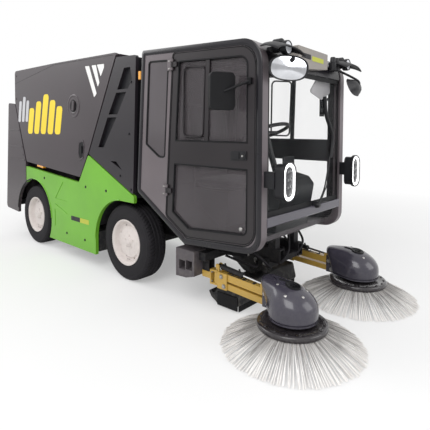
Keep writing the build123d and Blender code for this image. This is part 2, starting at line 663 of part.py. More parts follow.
def build_heads():
    cover = loft([cover_outline(section) for section in cover_sections], ruled=True)
    cover -= loft([cover_outline(section, cover_wall, cover_wall) for section in cover_sections],
                  ruled=True)
    notch = block(1300, 1480, -arm_y - 36, -arm_y + 36, 100, 322)
    cover -= notch
    plate = extrude(cover_outline(cover_sections[0], 0, 12), amount=12) - notch
    plate -= rod_z(brush_x, -brush_y, 170, 190, 21)
    plate += clevis_cheeks(1404, 1482, 168, 300)
    plate += block(1481, 1490, -arm_y - 32, -arm_y + 32, 184, 300)
    for bar in (upper_bar, lower_bar):
        x, z = bar_end(bar)
        plate += rod_y(x, -arm_y - 34, -arm_y + 34, z, pin_radius)
    motor = rod_z(brush_x, -brush_y, 184, 300, 52)
    motor -= rod_z(brush_x, -brush_y, 180, hub_high + 6, 21)
    add_pair("brush_head", plate + motor + cover)
    disc = rod_z(brush_x, -brush_y, disc_low, disc_high, disc_radius)
    disc += rod_z(brush_x, -brush_y, disc_high, hub_high, 20)
    ring = rod_z(0, 0, disc_low - 12, disc_low, 206) - rod_z(0, 0, disc_low - 13, disc_low + 1, 150)
    top = Pos(188, 0, disc_low - 1) * Rectangle(26, 26)
    low = Pos(brush_radius - 14, 0, brush_clearance) * Rectangle(28, 68)
    tuft = loft([top, low])
    bristles = Pos(-brush_x, brush_y, 0) * disc + ring
    for step in range(tuft_count):
        bristles += Rot(0, 0, 360 * step / tuft_count) * tuft
    add_pair("brush", Pos(brush_x, -brush_y, 0) * bristles)


# ---------------------------------------------------------------- cylinders, nozzle, duct
def ram(base, eye, barrel_radius, rod_radius, eye_radius, base_pin, eye_bore, overlap):
    """Barrel and rod of a hydraulic cylinder in an XZ plane, its two eyes across it."""
    run = Vector(*eye) - Vector(*base)
    along = run.normalized()
    barrel_end = Vector(*base) + along * (run.length * 0.56)
    hollow = barrel_end - along * (overlap + 30)
    barrel = rod_between(Vector(*base) + along * (eye_radius + 12), barrel_end, barrel_radius)
    barrel += rod_between(base, Vector(*base) + along * (eye_radius + 14), 0.35 * barrel_radius)
    barrel += Pos(*base) * Rot(90, 0, 0) * Cylinder(eye_radius, 28 - 2 * fit_gap)
    barrel -= Pos(*base) * Rot(90, 0, 0) * Cylinder(base_pin + fit_gap, 60)
    barrel -= rod_between(hollow, barrel_end + along, rod_radius + fit_gap)
    rod = rod_between(barrel_end - along * overlap, Vector(*eye) - along * 6, rod_radius)
    rod += Pos(*eye) * Rot(90, 0, 0) * Cylinder(eye_radius, 28 - 2 * fit_gap)
    rod -= Pos(*eye) * Rot(90, 0, 0) * Cylinder(eye_bore, 60)
    return barrel, rod


def build_rams():
    barrel, rod = ram((tip_base[0], -tip_cylinder_y, tip_base[1]),
                      (tip_eye[0], -tip_cylinder_y, tip_eye[1]), 32, 13, 25, 12, 18, 300)
    add_both("tip_barrels", barrel)
    add_both("tip_rods", rod)
    barrel, rod = ram((lift_base[0], -arm_y, lift_base[1]), (lift_eye[0], -arm_y, lift_eye[1]),
                      18, 9, 13, 7, 9, 60)
    add_pair("lift_barrel", barrel)
    add_pair("lift_rod", rod)


def build_suction():
    hood = face_xz([(838, 92), (862, 54), (930, 14), (1050, 12), (1150, 60), (1118, 188),
                    (950, 188), (915, 112), (885, 84), (858, 104)],
                   [8, 20, 40, 60, 30, 20, 20, 30, 12, 8])
    nozzle = slab(hood, -380, 380)
    nozzle -= block(950, 1080, -350, 350, 0, 150)
    path = FilletPolyline((1030, 0, 180), (740, 0, 392), (-330, 0, 470), (-560, 0, 700),
                          (-690, 0, 1030), radius=[300, 250, 200])
    start = Plane(origin=path @ 0, z_dir=path % 0)
    duct = sweep(start * Circle(duct_radius), path=path)
    duct -= block(900, 1200, -200, 200, 0, 188)
    duct -= slab(inset(hopper_outline, None, -8), -200, 200)
    nozzle += duct
    for x in duct_clamp_x:
        nozzle += block(x - 15, x + 15, -rail_inner + fit_gap, rail_inner - fit_gap, 410, 445)
    add("suction_nozzle", nozzle)
    step_face = carrier_rear - fit_gap
    step = slab(face_xz([(668, 217), (778, 224), (step_face, 250), (step_face, 430), (668, 430)]),
                10 - half_width, -fitting_y)
    for x, z in ((702, 278), (776, 286)):
        step -= block(x, x + 64, -half_width, 75 - half_width, z, z + 68)
    add_both("step_boxes", step)


build_chassis()
build_axles()
build_wheels()
build_sides()
build_hopper()
build_tail()
build_cab()
build_interior()
build_front()
build_arms()
build_heads()
build_rams()
build_suction()

spans = [shape.bounding_box() for shape in nodes.values()]
origin_x = (min(span.min.X for span in spans) + max(span.max.X for span in spans)) / 2

os.makedirs("parts", exist_ok=True)
for name, shape in nodes.items():
    export_step(Pos(-origin_x, 0, 0) * shape, f"parts/{name}.step")
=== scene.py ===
import json
import math
import bmesh
import bpy
import numpy as np
from mathutils import Matrix, Vector


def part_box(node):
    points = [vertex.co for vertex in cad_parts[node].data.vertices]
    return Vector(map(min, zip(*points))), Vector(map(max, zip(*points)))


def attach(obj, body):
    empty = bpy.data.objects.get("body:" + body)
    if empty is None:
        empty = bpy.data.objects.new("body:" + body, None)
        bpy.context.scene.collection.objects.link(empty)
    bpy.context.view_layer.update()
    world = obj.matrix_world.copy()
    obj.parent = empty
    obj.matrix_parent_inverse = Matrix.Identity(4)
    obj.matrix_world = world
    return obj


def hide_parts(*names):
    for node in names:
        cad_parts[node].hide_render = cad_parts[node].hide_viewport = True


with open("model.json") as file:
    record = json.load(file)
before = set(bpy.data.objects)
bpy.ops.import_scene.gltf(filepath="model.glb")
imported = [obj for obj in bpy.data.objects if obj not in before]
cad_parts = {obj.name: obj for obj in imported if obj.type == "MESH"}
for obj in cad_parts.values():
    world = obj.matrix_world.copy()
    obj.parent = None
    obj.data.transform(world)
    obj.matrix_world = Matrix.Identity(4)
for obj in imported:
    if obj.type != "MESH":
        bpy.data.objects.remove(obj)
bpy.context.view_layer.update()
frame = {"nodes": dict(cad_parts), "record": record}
nodes = frame["nodes"]
record = frame["record"]
mm = 0.001
sides = (("right", -1), ("left", 1))
forwards, upwards = (1, 0, 0), (0, 0, 1)
tyreLow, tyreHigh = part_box("tyre_front_right")
axleX = (tyreLow.x + tyreHigh.x) / 2      # the drawing's zero lies over the front axle
print("frame loaded", len(nodes), "nodes, front axle at", round(axleX, 4))


def place(x, y, z):
    # drawing millimetres, measured from the front axle, to the frame's metres
    return np.array([x * mm + axleX, y * mm, z * mm])


# ---- camera
cameraSet = {
    "spot": (2907, -2630, 1315), "forward": (-0.6666, 0.7445, -0.0365),
    "right": (0.7448, 0.6672, 0.0054), "lens": 33.91, "sensor": 36, "shiftY": -0.163, "farEnd": 100,
}
eye = bpy.data.cameras.new("viewEye")
eye.lens, eye.sensor_width = cameraSet["lens"], cameraSet["sensor"]
eye.shift_y, eye.clip_end = cameraSet["shiftY"], cameraSet["farEnd"]
eyeObject = bpy.data.objects.new("viewEye", eye)
bpy.context.scene.collection.objects.link(eyeObject)
eyeObject.location = Vector(place(*cameraSet["spot"]))
back = -Vector(cameraSet["forward"]).normalized()
up = back.cross(Vector(cameraSet["right"]).normalized()).normalized()
right = up.cross(back).normalized()
turn = np.array([right, up, back]).T
eyeObject.rotation_mode = "QUATERNION"
eyeObject.rotation_quaternion = Matrix(turn.tolist()).to_quaternion()
bpy.context.scene.camera = eyeObject
bpy.context.scene.view_settings.view_transform = "Standard"
print("camera set")


# ---- shader maths
class Wire:
    # a shader socket that takes part in plain arithmetic
    def __init__(self, web, socket):
        self.web, self.socket = web, socket

    def act(self, operation, first, second):
        return self.web.node("ShaderNodeMath", {"operation": operation}, {0: first, 1: second})

    def other(self, output):
        return Wire(self.web, self.socket.node.outputs[output])

    def __add__(self, term):
        return self.act("ADD", self, term)

    def __sub__(self, term):
        return self.act("SUBTRACT", self, term)

    def __rsub__(self, term):
        return self.act("SUBTRACT", term, self)

    def __mul__(self, term):
        return self.act("MULTIPLY", self, term)

    __radd__ = __add__
    __rmul__ = __mul__


class Web:
    # a tree of nodes; its methods add nodes and hand back wires
    def __init__(self, tree):
        self.tree, self.where = tree, None

    def feed(self, socket, value):
        if isinstance(value, Wire):
            self.tree.links.new(value.socket, socket)
        elif isinstance(value, tuple) and socket.type == "RGBA" and len(value) == 3:
            socket.default_value = (*value, 1)
        else:
            socket.default_value = value

    def node(self, kind, settings=None, inputs=None, output=0):
        made = self.tree.nodes.new(kind)
        for key, value in (settings or {}).items():
            setattr(made, key, value)
        for key, value in (inputs or {}).items():
            self.feed(made.inputs[key], value)
        return Wire(self, made.outputs[output])

    def at(self):
        self.where = self.where or self.node("ShaderNodeTexCoord", output="Object")
        return self.where

    def height(self):
        return self.node("ShaderNodeSeparateXYZ", {}, {0: self.at()}, 2)

    def stretched(self, sx, sy, sz):
        return self.node("ShaderNodeMapping", {}, {"Vector": self.at(), "Scale": (sx, sy, sz)})

    def noise(self, scale, detail=3.0, where=None, rough=0.5):
        return self.node("ShaderNodeTexNoise", {}, {
            "Vector": where or self.at(), "Scale": scale, "Detail": detail, "Roughness": rough})

    def cells(self, scale):
        return self.node("ShaderNodeTexVoronoi", {}, {"Vector": self.at(), "Scale": scale})

    def mix(self, factor, first, second):
        return self.node("ShaderNodeMix", {"data_type": "RGBA"}, {0: factor, 6: first, 7: second}, 2)

    def between(self, value, low, high, outLow=0.0, outHigh=1.0):
        return self.node("ShaderNodeMapRange", {"clamp": True}, {
            0: value, 1: low, 2: high, 3: outLow, 4: outHigh})

    def relief(self, height, strength=0.3, distance=0.001):
        return self.node("ShaderNodeBump", {}, {
            "Height": height, "Strength": strength, "Distance": distance})


class Finish(Web):
    # one material: a web of nodes round its shader, which set() feeds by plain names
    names = {"color": "Base Color", "rough": "Roughness", "metal": "Metallic", "alpha": "Alpha",
             "coat": "Coat Weight", "coatRough": "Coat Roughness", "level": "Specular IOR Level",
             "glow": "Emission Color", "glowPower": "Emission Strength", "bump": "Normal",
             "ior": "IOR", "sheen": "Sheen Weight"}

    def __init__(self, name, **plain):
        self.material = bpy.data.materials.new(name)
        self.material.use_nodes = True
        super().__init__(self.material.node_tree)
        self.shader = self.tree.nodes["Principled BSDF"]
        self.set(**plain)

    def set(self, **values):
        for key, value in values.items():
            self.feed(self.shader.inputs[self.names[key]], value)


def shade(color, amount):
    return tuple(min(1.0, c * amount) for c in color)


dustSet = {  # height it reaches, noise value its specks start at, colour
    "paint": (0.9, 0.42, (0.30, 0.27, 0.24)), "plastic": (0.8, 0.45, (0.26, 0.24, 0.21)),
}


def dusty(f, kind, tone, speck, amount):
    # road dust in specks that thin out with height; also gives how much lies where
    top, speckFrom, dust = dustSet[kind]
    low = f.between(f.height(), top, 0.1) * f.between(speck, speckFrom, 0.7) * amount
    return f.mix(low, tone, dust), low


def painted(name, color, rough=0.35, coat=0.3, peel=0.12, dust=0.25, level=0.35):
    # paint: slow tone drift, fine orange peel, and road dust that thins out with height
    f = Finish(name, coatRough=0.12, level=level)
    drift = f.noise(2.2, 4)
    speck = f.noise(38, 5, rough=0.65)
    tone = f.mix(f.between(drift, 0.35, 0.65), color, shade(color, 1.16))
    tone, low = dusty(f, "paint", tone, speck, dust)
    f.set(color=tone, rough=f.between(drift, 0.3, 0.7, rough, rough + 0.08) + low * 0.4,
          coat=coat - low * 0.3, bump=f.relief(f.noise(420, 2), peel, 0.0004))
    return f.material


def moulded(name, color, rough=0.5, grain=900, depth=0.25, dust=0.2):
    # moulded plastic: fine leather-like grain, paler scuffs, light dust near the ground
    f = Finish(name, level=0.3)
    scuff = f.noise(14, 6, rough=0.7)
    tone = f.mix(f.between(scuff, 0.5, 0.72) * 0.35, color, shade(color, 1.7))
    tone = dusty(f, "plastic", tone, f.noise(30, 5), dust)[0]
    f.set(color=tone, rough=f.between(scuff, 0.3, 0.7, rough - 0.06, rough + 0.1),
          bump=f.relief(f.cells(grain), depth, 0.0003))
    return f.material


def turnedSteel(name, color, rough=0.3, brushed=True):
    # turned steel: fine streaks in roughness, a little stain
    f = Finish(name, metal=1.0)
    streak = f.noise(60, 4, f.stretched(1, 1, 14) if brushed else None)
    stain = f.noise(9, 5)
    f.set(color=f.mix(f.between(stain, 0.45, 0.7) * 0.4, color, shade(color, 0.6)),
          rough=f.between(streak, 0.3, 0.7, rough, rough + 0.14),
          bump=f.relief(streak, 0.05, 0.0003))
    return f.material


def rubber(name, color, rough=0.72):
    # rubber: matt, mottled bloom and a fine skin
    f = Finish(name, level=0.2)
    bloom = f.noise(11, 6, rough=0.65)
    f.set(color=f.mix(f.between(bloom, 0.42, 0.7) * 0.55, color, shade(color, 2.3)),
          rough=f.between(bloom, 0.3, 0.7, rough - 0.1, rough + 0.08),
          bump=f.relief(f.noise(260, 3), 0.2, 0.0006))
    return f.material


def glass(name, color, alpha, haze):
    # tinted pane: smears of dust change how much shows through
    f = Finish(name, ior=1.5)
    smear = f.noise(3.1, 5, f.stretched(1, 1, 0.35), 0.6)
    f.set(color=f.mix(f.between(smear, 0.35, 0.75), color, shade(color, 1.5)),
          alpha=f.between(smear, 0.35, 0.75, alpha, alpha + haze),
          rough=f.between(smear, 0.4, 0.8, 0.02, 0.09))
    return f.material


def bristle(name, bright, grey, root, tip):
    # drawn polypropylene: milky strands of random tone, grey at a tuft's edges as painted shade between
    # tufts, darker towards the roots as painted shade under the disc, dusty at the tips
    f = Finish(name, level=0.3)
    z = f.height()
    own = f.node("ShaderNodeAttribute", {"attribute_name": "strandTone"}, output=2)
    # painted shade: strands darken from the tips up towards the roots, for the shade under the disc; the
    # per-strand value adds to this
    body = f.between(z, 0.01, 0.10, 0.7, 0.0) + own
    # painted shade between tufts: strands with a low value take the grey colour
    tone = f.mix(f.between(body, 0.0, 1.0), grey, bright)
    # painted shade: near the disc the strands are mixed towards the darker root colour
    tone = f.mix(f.between(z, 0.05, 0.118) * 0.6, tone, root)
    tone = f.mix(f.between(z, 0.03, 0.0) * 0.12, tone, tip)
    f.set(color=tone, rough=f.between(f.noise(160, 3), 0.3, 0.7, 0.35, 0.55))
    return f.material


def cloth(name, color):
    # woven seat cloth: fine ribs, specks and a soft sheen
    f = Finish(name, sheen=0.4, rough=0.88)
    warp = f.node("ShaderNodeTexWave", {"wave_type": "BANDS"}, {
        "Vector": f.at(), "Scale": 260.0, "Distortion": 1.5})
    speck = f.noise(420, 3)
    f.set(color=f.mix(f.between(warp + speck * 0.5, 0.3, 1.2), color, shade(color, 1.9)),
          bump=f.relief(warp + speck, 0.5, 0.0008))
    return f.material


def lamp(name, color, power=0.0):
    # lens: a prism pattern under a clear coat, which glows if it has a power
    f = Finish(name, rough=0.08, coat=1.0)
    prisms = f.cells(120)
    f.set(color=f.mix(f.between(prisms, 0.1, 0.6), color, shade(color, 0.8)),
          bump=f.relief(prisms, 0.2, 0.0008))
    if power:
        f.set(glow=color, glowPower=power)
    return f.material


# names with an underscore are the CAD nodes' own finishes, the others belong to added pieces;
# the values follow each function's arguments
finishTable = {
    painted: {  # colour, roughness, coat
        "graphite_paint": ((0.043, 0.034, 0.039), 0.34, 0.18),
        "green_panel": ((0.135, 0.372, 0.024), 0.33, 0.12, {"dust": 0.08}),
        "black_steel": ((0.008, 0.008, 0.010), 0.45, 0.0, {"dust": 0.12, "level": 0.25}),
        "gold_paint": ((0.44, 0.275, 0.050), 0.3, 0.35, {"dust": 0.1}),
        "white_steel": ((0.60, 0.55, 0.53), 0.45, 0.05),
        "cover_grey": ((0.038, 0.035, 0.050), 0.2, 0.5, {"peel": 0.03, "dust": 0.05}),
        "bandGraphite": ((0.006, 0.005, 0.008), 0.24, 0.15, {"dust": 0.04}),
        "columnGraphite": ((0.0165, 0.014, 0.0175), 0.34, 0.08, {"dust": 0.08}),
        "doorGraphite": ((0.014, 0.011, 0.013), 0.28, 0.15, {"dust": 0.05}),
        "panelGraphite": ((0.118, 0.100, 0.108), 0.3, 0.2, {"dust": 0.1}),
        "barGraphite": ((0.075, 0.070, 0.088), 0.2, 0.5, {"peel": 0.03, "dust": 0.04}),
        "discBlack": ((0.020, 0.017, 0.020), 0.2, 0.5, {"dust": 0.08}),
        "quarterTint": ((0.070, 0.060, 0.066), 0.12, 0.4, {"peel": 0.0, "dust": 0.0}),
        "boxGrey": ((0.26, 0.24, 0.22), 0.45, 0.05, {"dust": 0.0}),
        "plateLime": ((0.42, 0.44, 0.04), 0.4, 0.1, {"dust": 0.0}),
        "markWhite": ((0.78, 0.77, 0.76), 0.4, 0.1, {"dust": 0.1}),
        "markYellow": ((0.83, 0.62, 0.02), 0.38, 0.2, {"dust": 0.1}),
        "markSilver": ((0.50, 0.50, 0.52), 0.35, 0.2, {"dust": 0.1}),
    },
    moulded: {  # colour, roughness, grain, its depth, dust
        "black_plastic": ((0.009, 0.009, 0.011), 0.42),
        "grey_plastic": ((0.075, 0.066, 0.072), 0.46),
        "battery_case": ((0.028, 0.028, 0.030), 0.55, 300),
        "blindGrey": ((0.42, 0.41, 0.42), 0.5, 900, 0.1, 0.05),
    },
    rubber: {  # colour, roughness
        "tyre_rubber": ((0.012, 0.011, 0.013),),
        "sealRubber": ((0.005, 0.005, 0.006), 0.5),
    },
    glass: {  # colour, thinnest smear, how much thicker it gets
        "clear_glass": ((0.30, 0.32, 0.33), 0.015, 0.02),
        "smoked_glass": ((0.080, 0.070, 0.076), 0.40, 0.06),
        "farGlass": ((0.30, 0.32, 0.33), 0.05, 0.03),
    },
    turnedSteel: {  # colour, roughness, whether it is brushed
        "chromed_rod": ((0.75, 0.75, 0.76), 0.12),
        "boltSteel": ((0.42, 0.41, 0.40), 0.32, False),
        "mirrorSilver": ((0.70, 0.71, 0.74), 0.05, False),
    },
    lamp: {  # colour, power
        "lamp_lens": ((0.93, 0.95, 1.0),),
        "red_lens": ((0.55, 0.02, 0.02),),
        "amberLens": ((0.85, 0.36, 0.02), 0.1),
        "ringLight": ((1.0, 1.0, 1.0), 3.0),
        "darkLens": ((0.03, 0.03, 0.035),),
    },
    bristle: {  # bright strands, grey strands as painted shade between tufts, roots darkened as painted shade under the disc, dusty tips
        "bristle_poly": ((0.97, 0.95, 0.93), (0.16, 0.15, 0.15), (0.30, 0.28, 0.27), (0.60, 0.55, 0.50)),
    },
    cloth: {"seat_fabric": ((0.014, 0.014, 0.016),)},
}
looks = {}
for maker, table in finishTable.items():
    for name, values in table.items():
        first, *rest = name.split("_")
        more = values[-1] if isinstance(values[-1], dict) else {}
        plain = values[:-1] if more else values
        looks[name] = maker(first + "".join(word.capitalize() for word in rest), *plain, **more)
print("finishes made", len(looks))

# ---- stage and light
stageSet = {
    "floorSpan": 60.0, "floorTone": (0.92, 0.92, 0.92), "sky": 0.62, "nearGlow": 0.35,
    "fadeFrom": 3.0, "fadeTo": 6.5,
    "lamps": [  # name, place, aim, size, power
        ("keyLamp", (3.2, -6.0, 6.0), (0, 0, 0.9), 5.0, 330),
        ("fillLamp", (7.0, 2.0, 3.5), (0.8, 0, 0.9), 4.0, 120),
        ("rimLamp", (-5.5, -3.0, 5.0), (-0.8, 0, 1.0), 4.0, 150),
    ],
}
white = (1.0, 1.0, 1.0)
world = bpy.data.worlds.new("softStudio")
bpy.context.scene.world = world
world.use_nodes = True
sky = Web(world.node_tree)
sky.tree.nodes.remove(sky.tree.nodes["Background"])
dim, bright = (sky.node("ShaderNodeBackground", {}, {"Color": white, "Strength": strength})
               for strength in (stageSet["sky"], 1.0))
# what is seen, mirrored or looked through is plain white; all else gets the dimmer sky
plainWhite = sky.node("ShaderNodeLightPath", output="Is Camera Ray")
rays = plainWhite
for kind in ("Is Glossy Ray", "Is Transmission Ray"):
    plainWhite = plainWhite.act("MAXIMUM", plainWhite, rays.other(kind))
pick = sky.node("ShaderNodeMixShader", {}, {0: plainWhite, 1: dim, 2: bright})
sky.feed(sky.tree.nodes["World Output"].inputs[0], pick)

floorMesh = bpy.data.meshes.new("studioFloor")
span = stageSet["floorSpan"]
corners = [(-span, -span, 0), (span, -span, 0), (span, span, 0), (-span, span, 0)]
floorMesh.from_pydata(corners, [], [(0, 1, 2, 3)])
floor = bpy.data.objects.new("studioFloor", floorMesh)
bpy.context.scene.collection.objects.link(floor)
# the floor fades to plain white with distance, so no horizon shows; close by it keeps the shadow
ground = Finish("paleFloor", color=stageSet["floorTone"], rough=0.9, level=0.1)
reach = ground.node("ShaderNodeVectorMath", {"operation": "LENGTH"}, {0: ground.at()}, "Value")
fade = ground.between(reach, stageSet["fadeFrom"], stageSet["fadeTo"], stageSet["nearGlow"], 1.0)
seen = ground.node("ShaderNodeLightPath", output="Is Camera Ray")
glowing = ground.node("ShaderNodeEmission")
lit = Wire(ground, ground.shader.outputs[0])
blend = ground.node("ShaderNodeMixShader", {}, {0: fade * seen, 1: lit, 2: glowing})
ground.feed(ground.tree.nodes["Material Output"].inputs[0], blend)
floorMesh.materials.append(ground.material)

for name, spot, aim, size, power in stageSet["lamps"]:
    light = bpy.data.lights.new(name, "AREA")
    light.size, light.energy = size, power
    holder = bpy.data.objects.new(name, light)
    bpy.context.scene.collection.objects.link(holder)
    holder.location = spot
    holder.rotation_mode = "QUATERNION"
    holder.rotation_quaternion = (Vector(aim) - Vector(spot)).to_track_quat("-Z", "Y")
print("stage set")


# ---- surfaces worked out with numpy
def frameOf(axis):
    # two directions square to an axis
    axis = np.asarray(axis, float) / np.linalg.norm(axis)
    helper = np.array([0, 0, 1.0]) if abs(axis[2]) < 0.9 else np.array([1.0, 0, 0])
    side = np.cross(helper, axis)
    side /= np.linalg.norm(side)
    return side, np.cross(axis, side), axis


def turned(profile, centre, axis, count=48):
    # a profile of (radius, height) pairs in millimetres, turned about an axis through centre
    side, other, along = frameOf(axis)
    angle = (np.arange(count) * 2 * np.pi / count)[:, None, None]
    radius, height = np.asarray(profile, float).T[:, None, :, None] * mm
    out = (np.cos(angle) * side + np.sin(angle) * other) * radius
    return np.asarray(centre) + out + along * height


def smoothLine(points, count):
    # Catmull-Rom curve through the points, count samples, by its cubic blend of four neighbours
    p = np.asarray(points, float)
    t = np.linspace(0, len(p) - 1, count)
    k = np.minimum(t.astype(int), len(p) - 2)
    u = (t - k)[:, None]
    a, b, c, d = (p[np.clip(k + step, 0, len(p) - 1)] for step in (-1, 0, 1, 2))
    bend, twist = 2 * a - 5 * b + 4 * c - d, 3 * b - a - 3 * c + d
    return 0.5 * (2 * b + (c - a) * u + bend * u**2 + twist * u**3)


def swept(path, radius, count=10):
    # a circle carried along a path, kept from twisting by passing its side vector on
    path = np.asarray(path, float)
    run = np.gradient(path, axis=0)
    run /= np.linalg.norm(run, axis=1)[:, None]
    side = frameOf(run[0])[0]
    angle = np.arange(count) * 2 * np.pi / count
    ring = np.stack([np.cos(angle), np.sin(angle)], 1)
    rows = []
    for spot, along, r in zip(path, run, np.broadcast_to(radius, len(path))):
        side = side - along * (side @ along)
        side /= np.linalg.norm(side)
        rows.append(spot + (ring[:, :1] * side + ring[:, 1:] * np.cross(along, side)) * r)
    return np.array(rows)


def roundedLoop(points, radii, steps=6):
    # outline with each corner replaced by points of its arc
    p = np.asarray(points, float)
    loop = []
    for i, (corner, r) in enumerate(zip(p, np.broadcast_to(radii, len(p)))):
        before, after = p[i - 1] - corner, p[(i + 1) % len(p)] - corner
        a, b = before / np.linalg.norm(before), after / np.linalg.norm(after)
        half = math.acos(np.clip(a @ b, -1, 1)) / 2
        centre = corner + (a + b) / np.linalg.norm(a + b) * r / math.sin(half)
        start, end = (corner + way * r / math.tan(half) - centre for way in (a, b))
        span = math.pi - 2 * half
        w = np.linspace(0, 1, steps + 1)[:, None]
        loop.extend(centre + (start * np.sin((1 - w) * span) + end * np.sin(w * span)) / math.sin(span))
    return np.array(loop)


def insetLoop(points, amount):
    # each edge of an outline moved inwards by an amount, corners where neighbours meet
    p = np.asarray(points, float)
    middle = p.mean(0)
    made = []
    for i in range(len(p)):
        lines = []
        for a, b in ((p[i - 1], p[i]), (p[i], p[(i + 1) % len(p)])):
            run = (b - a) / np.linalg.norm(b - a)
            normal = np.array([-run[1], run[0]])
            normal *= -1 if normal @ (middle - a) < 0 else 1
            lines.append((a + normal * amount, run))
        (a, u), (b, v) = lines
        made.append(a + u * np.linalg.solve(np.stack([u, -v], 1), b - a)[0])
    return np.array(made)


def cutLoop(loop, level, keepAbove):
    # the part of an outline above or below a level
    above = [(point[1] >= level) == keepAbove or point[1] == level for point in loop]
    made = []
    for i, a in enumerate(loop):
        b = loop[(i + 1) % len(loop)]
        if above[i]:
            made.append(a)
        if above[i] != above[(i + 1) % len(loop)]:
            made.append(a + (b - a) * (level - a[1]) / (b[1] - a[1]))
    return np.array(made)


def flatRing(loop, depth, axis=1):
    # a flat outline at one depth along an axis, drawing millimetres to metres
    loop = np.asarray(loop, float)
    return np.insert(loop, axis, depth, 1) * mm + [axleX, 0, 0]


class Heap:
    # gathers the vertices and faces of many small surfaces into one mesh
    def __init__(self):
        self.points, self.faces, self.count = [], [], 0

    def take(self, points, faces):
        self.points.append(points.reshape(-1, 3))
        self.faces.extend([[k + self.count for k in face] for face in faces])
        self.count += len(self.points[-1])
        return self

    def grid(self, surface, closeU=False, closeV=False, capU=False):
        # surface is rows x columns x 3; neighbours in both directions make quads
        rows, columns = surface.shape[:2]
        i = np.arange(rows if closeU else rows - 1)
        j = np.arange(columns if closeV else columns - 1)
        a, b = (part.ravel() for part in np.meshgrid(i, j, indexing="ij"))
        c, d = (a + 1) % rows, (b + 1) % columns
        faces = np.stack([a * columns + b, c * columns + b, c * columns + d, a * columns + d], 1).tolist()
        if capU:
            faces.append(list(range(columns - 1, -1, -1)))
            faces.append(list(range((rows - 1) * columns, rows * columns)))
        return self.take(surface, faces)

    def lathe(self, profile, centre, axis, count=48):
        # a turned part
        return self.grid(turned(profile, centre, axis, count), closeU=True)

    def tube(self, path, radius, count=10):
        # a round bar along a path, its ends closed
        return self.grid(swept(path, radius, count), closeV=True, capU=True)

    def rings(self, rings):
        # closed outlines with the same count of points, skinned one to the next
        return self.grid(np.array(rings), closeV=True)

    def slab(self, loop, near, far, axis=1):
        # a flat outline carried straight from one depth to another along an axis
        surface = np.array([flatRing(loop, near, axis), flatRing(loop, far, axis)])
        return self.grid(surface, closeV=True, capU=True)

    def brick(self, low, high):
        loop = [(low[0], low[2]), (high[0], low[2]), (high[0], high[2]), (low[0], high[2])]
        return self.slab(loop, low[1], high[1])

    def knob(self, spot, axis, radius, height, count=6, crown=0.25):
        # bolt head: flat-sided ring with a chamfered top on a washer
        washer, foot, shoulder = radius * 1.5, height * 0.25, height * (1 - crown)
        return self.lathe([(0, 0), (washer, 0), (washer, foot), (radius, foot), (radius, shoulder),
                           (radius * 0.86, height), (0, height)], spot, axis, count)

    def strip(self, loop, foot, top, width, sign):
        # rubber section carried round a closed outline on one side: a low hump across the line
        ahead = np.roll(loop, -1, 0) - np.roll(loop, 1, 0)
        ahead /= np.linalg.norm(ahead, axis=1)[:, None]
        out = np.stack([ahead[:, 1], -ahead[:, 0]], 1) * width
        shoulder = (foot + top) / 2
        section = [(-0.5, foot), (-0.5, shoulder), (-0.3, top), (0.3, top), (0.5, shoulder), (0.5, foot)]
        rows = [flatRing(loop + out * offset, sign * depth) for offset, depth in section]
        return self.grid(np.array(rows), closeU=True, closeV=True)

    def piece(self, name, body, slot, look=None, smooth=40, bevel=0.0, outwards=True):
        # makes the object; its finish is the slot's own unless another look is named
        mesh = bpy.data.meshes.new(name)
        mesh.from_pydata(np.concatenate(self.points).tolist(), [], self.faces)
        if outwards:
            shape = bmesh.new()
            shape.from_mesh(mesh)
            bmesh.ops.remove_doubles(shape, verts=shape.verts, dist=1e-6)
            bmesh.ops.recalc_face_normals(shape, faces=shape.faces)
            shape.to_mesh(mesh)
            shape.free()
        made = bpy.data.objects.new(name, mesh)
        bpy.context.scene.collection.objects.link(made)
        mesh.materials.append(looks[look or slot])
        if smooth:
            mesh.polygons.foreach_set("use_smooth", [True] * len(mesh.polygons))
            mesh.set_sharp_from_angle(angle=math.radians(smooth))
        if bevel:
            edge = made.modifiers.new("softEdge", "BEVEL")
            edge.width, edge.segments, edge.limit_method = bevel, 2, "ANGLE"
            edge.angle_limit = math.radians(40)
        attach(made, body)
        return made


def addWall(made, name, thickness):
    # gives a sheet its thickness, inwards
    wall = made.modifiers.new(name, "SOLIDIFY")
    wall.thickness, wall.offset = thickness, -1


# ---- CAD nodes take their finishes
slotOf = {s["node"]: s["material_slot"] for s in record["subparts"]}
nodeLook = {
    "column_panels": "columnGraphite", "cab_roof": "bandGraphite", "front_cross_bar": "barGraphite",
    "cab_sides": "panelGraphite", "door_glass_left": "farGlass",
    "door_mirror_right": "sealRubber", "door_mirror_left": "sealRubber",
    "door_frame_right": "doorGraphite", "door_frame_left": "doorGraphite",
}
for name, thing in nodes.items():
    thing.data.materials.clear()
    thing.data.materials.append(looks[nodeLook.get(name, slotOf[name])])
print("nodes dressed")


# ---- tyres
tyreSet = {
    "axleHeight": 333.0, "trackY": 449.0, "wheelbase": 1725.0, "blocks": 68, "stepsPerBlock": 5,
    "grooveDepth": 7.0, "treadFrom": 321,
    "halfProfile": [(179, -72), (194, -83), (200, -91), (215, -95.5), (228, -97), (236, -98.6),
                    (250, -99), (275, -98.2), (294, -95.8), (297, -97.2), (303, -96.6), (306, -94.4),
                    (318, -88), (326, -80), (330, -72), (332, -62), (332.6, -50), (333, -40),
                    (333, -30), (333, -18), (333, -9), (333, 0)],
    "cap": [(0, 6), (14, 5.4), (22, 3), (24, 0)], "capAt": 0.0705,
    "discRib": [(128, 50.4), (131, 52.6), (134, 52.6), (137, 50.0)],
    "lip": [(192, 88.5), (196, 91), (199.5, 95.5), (196, 97.2), (191.5, 95)],
    "nuts": 5, "nutRing": 0.052, "nutAt": 0.058, "valveAt": (0.046, -0.160),
}


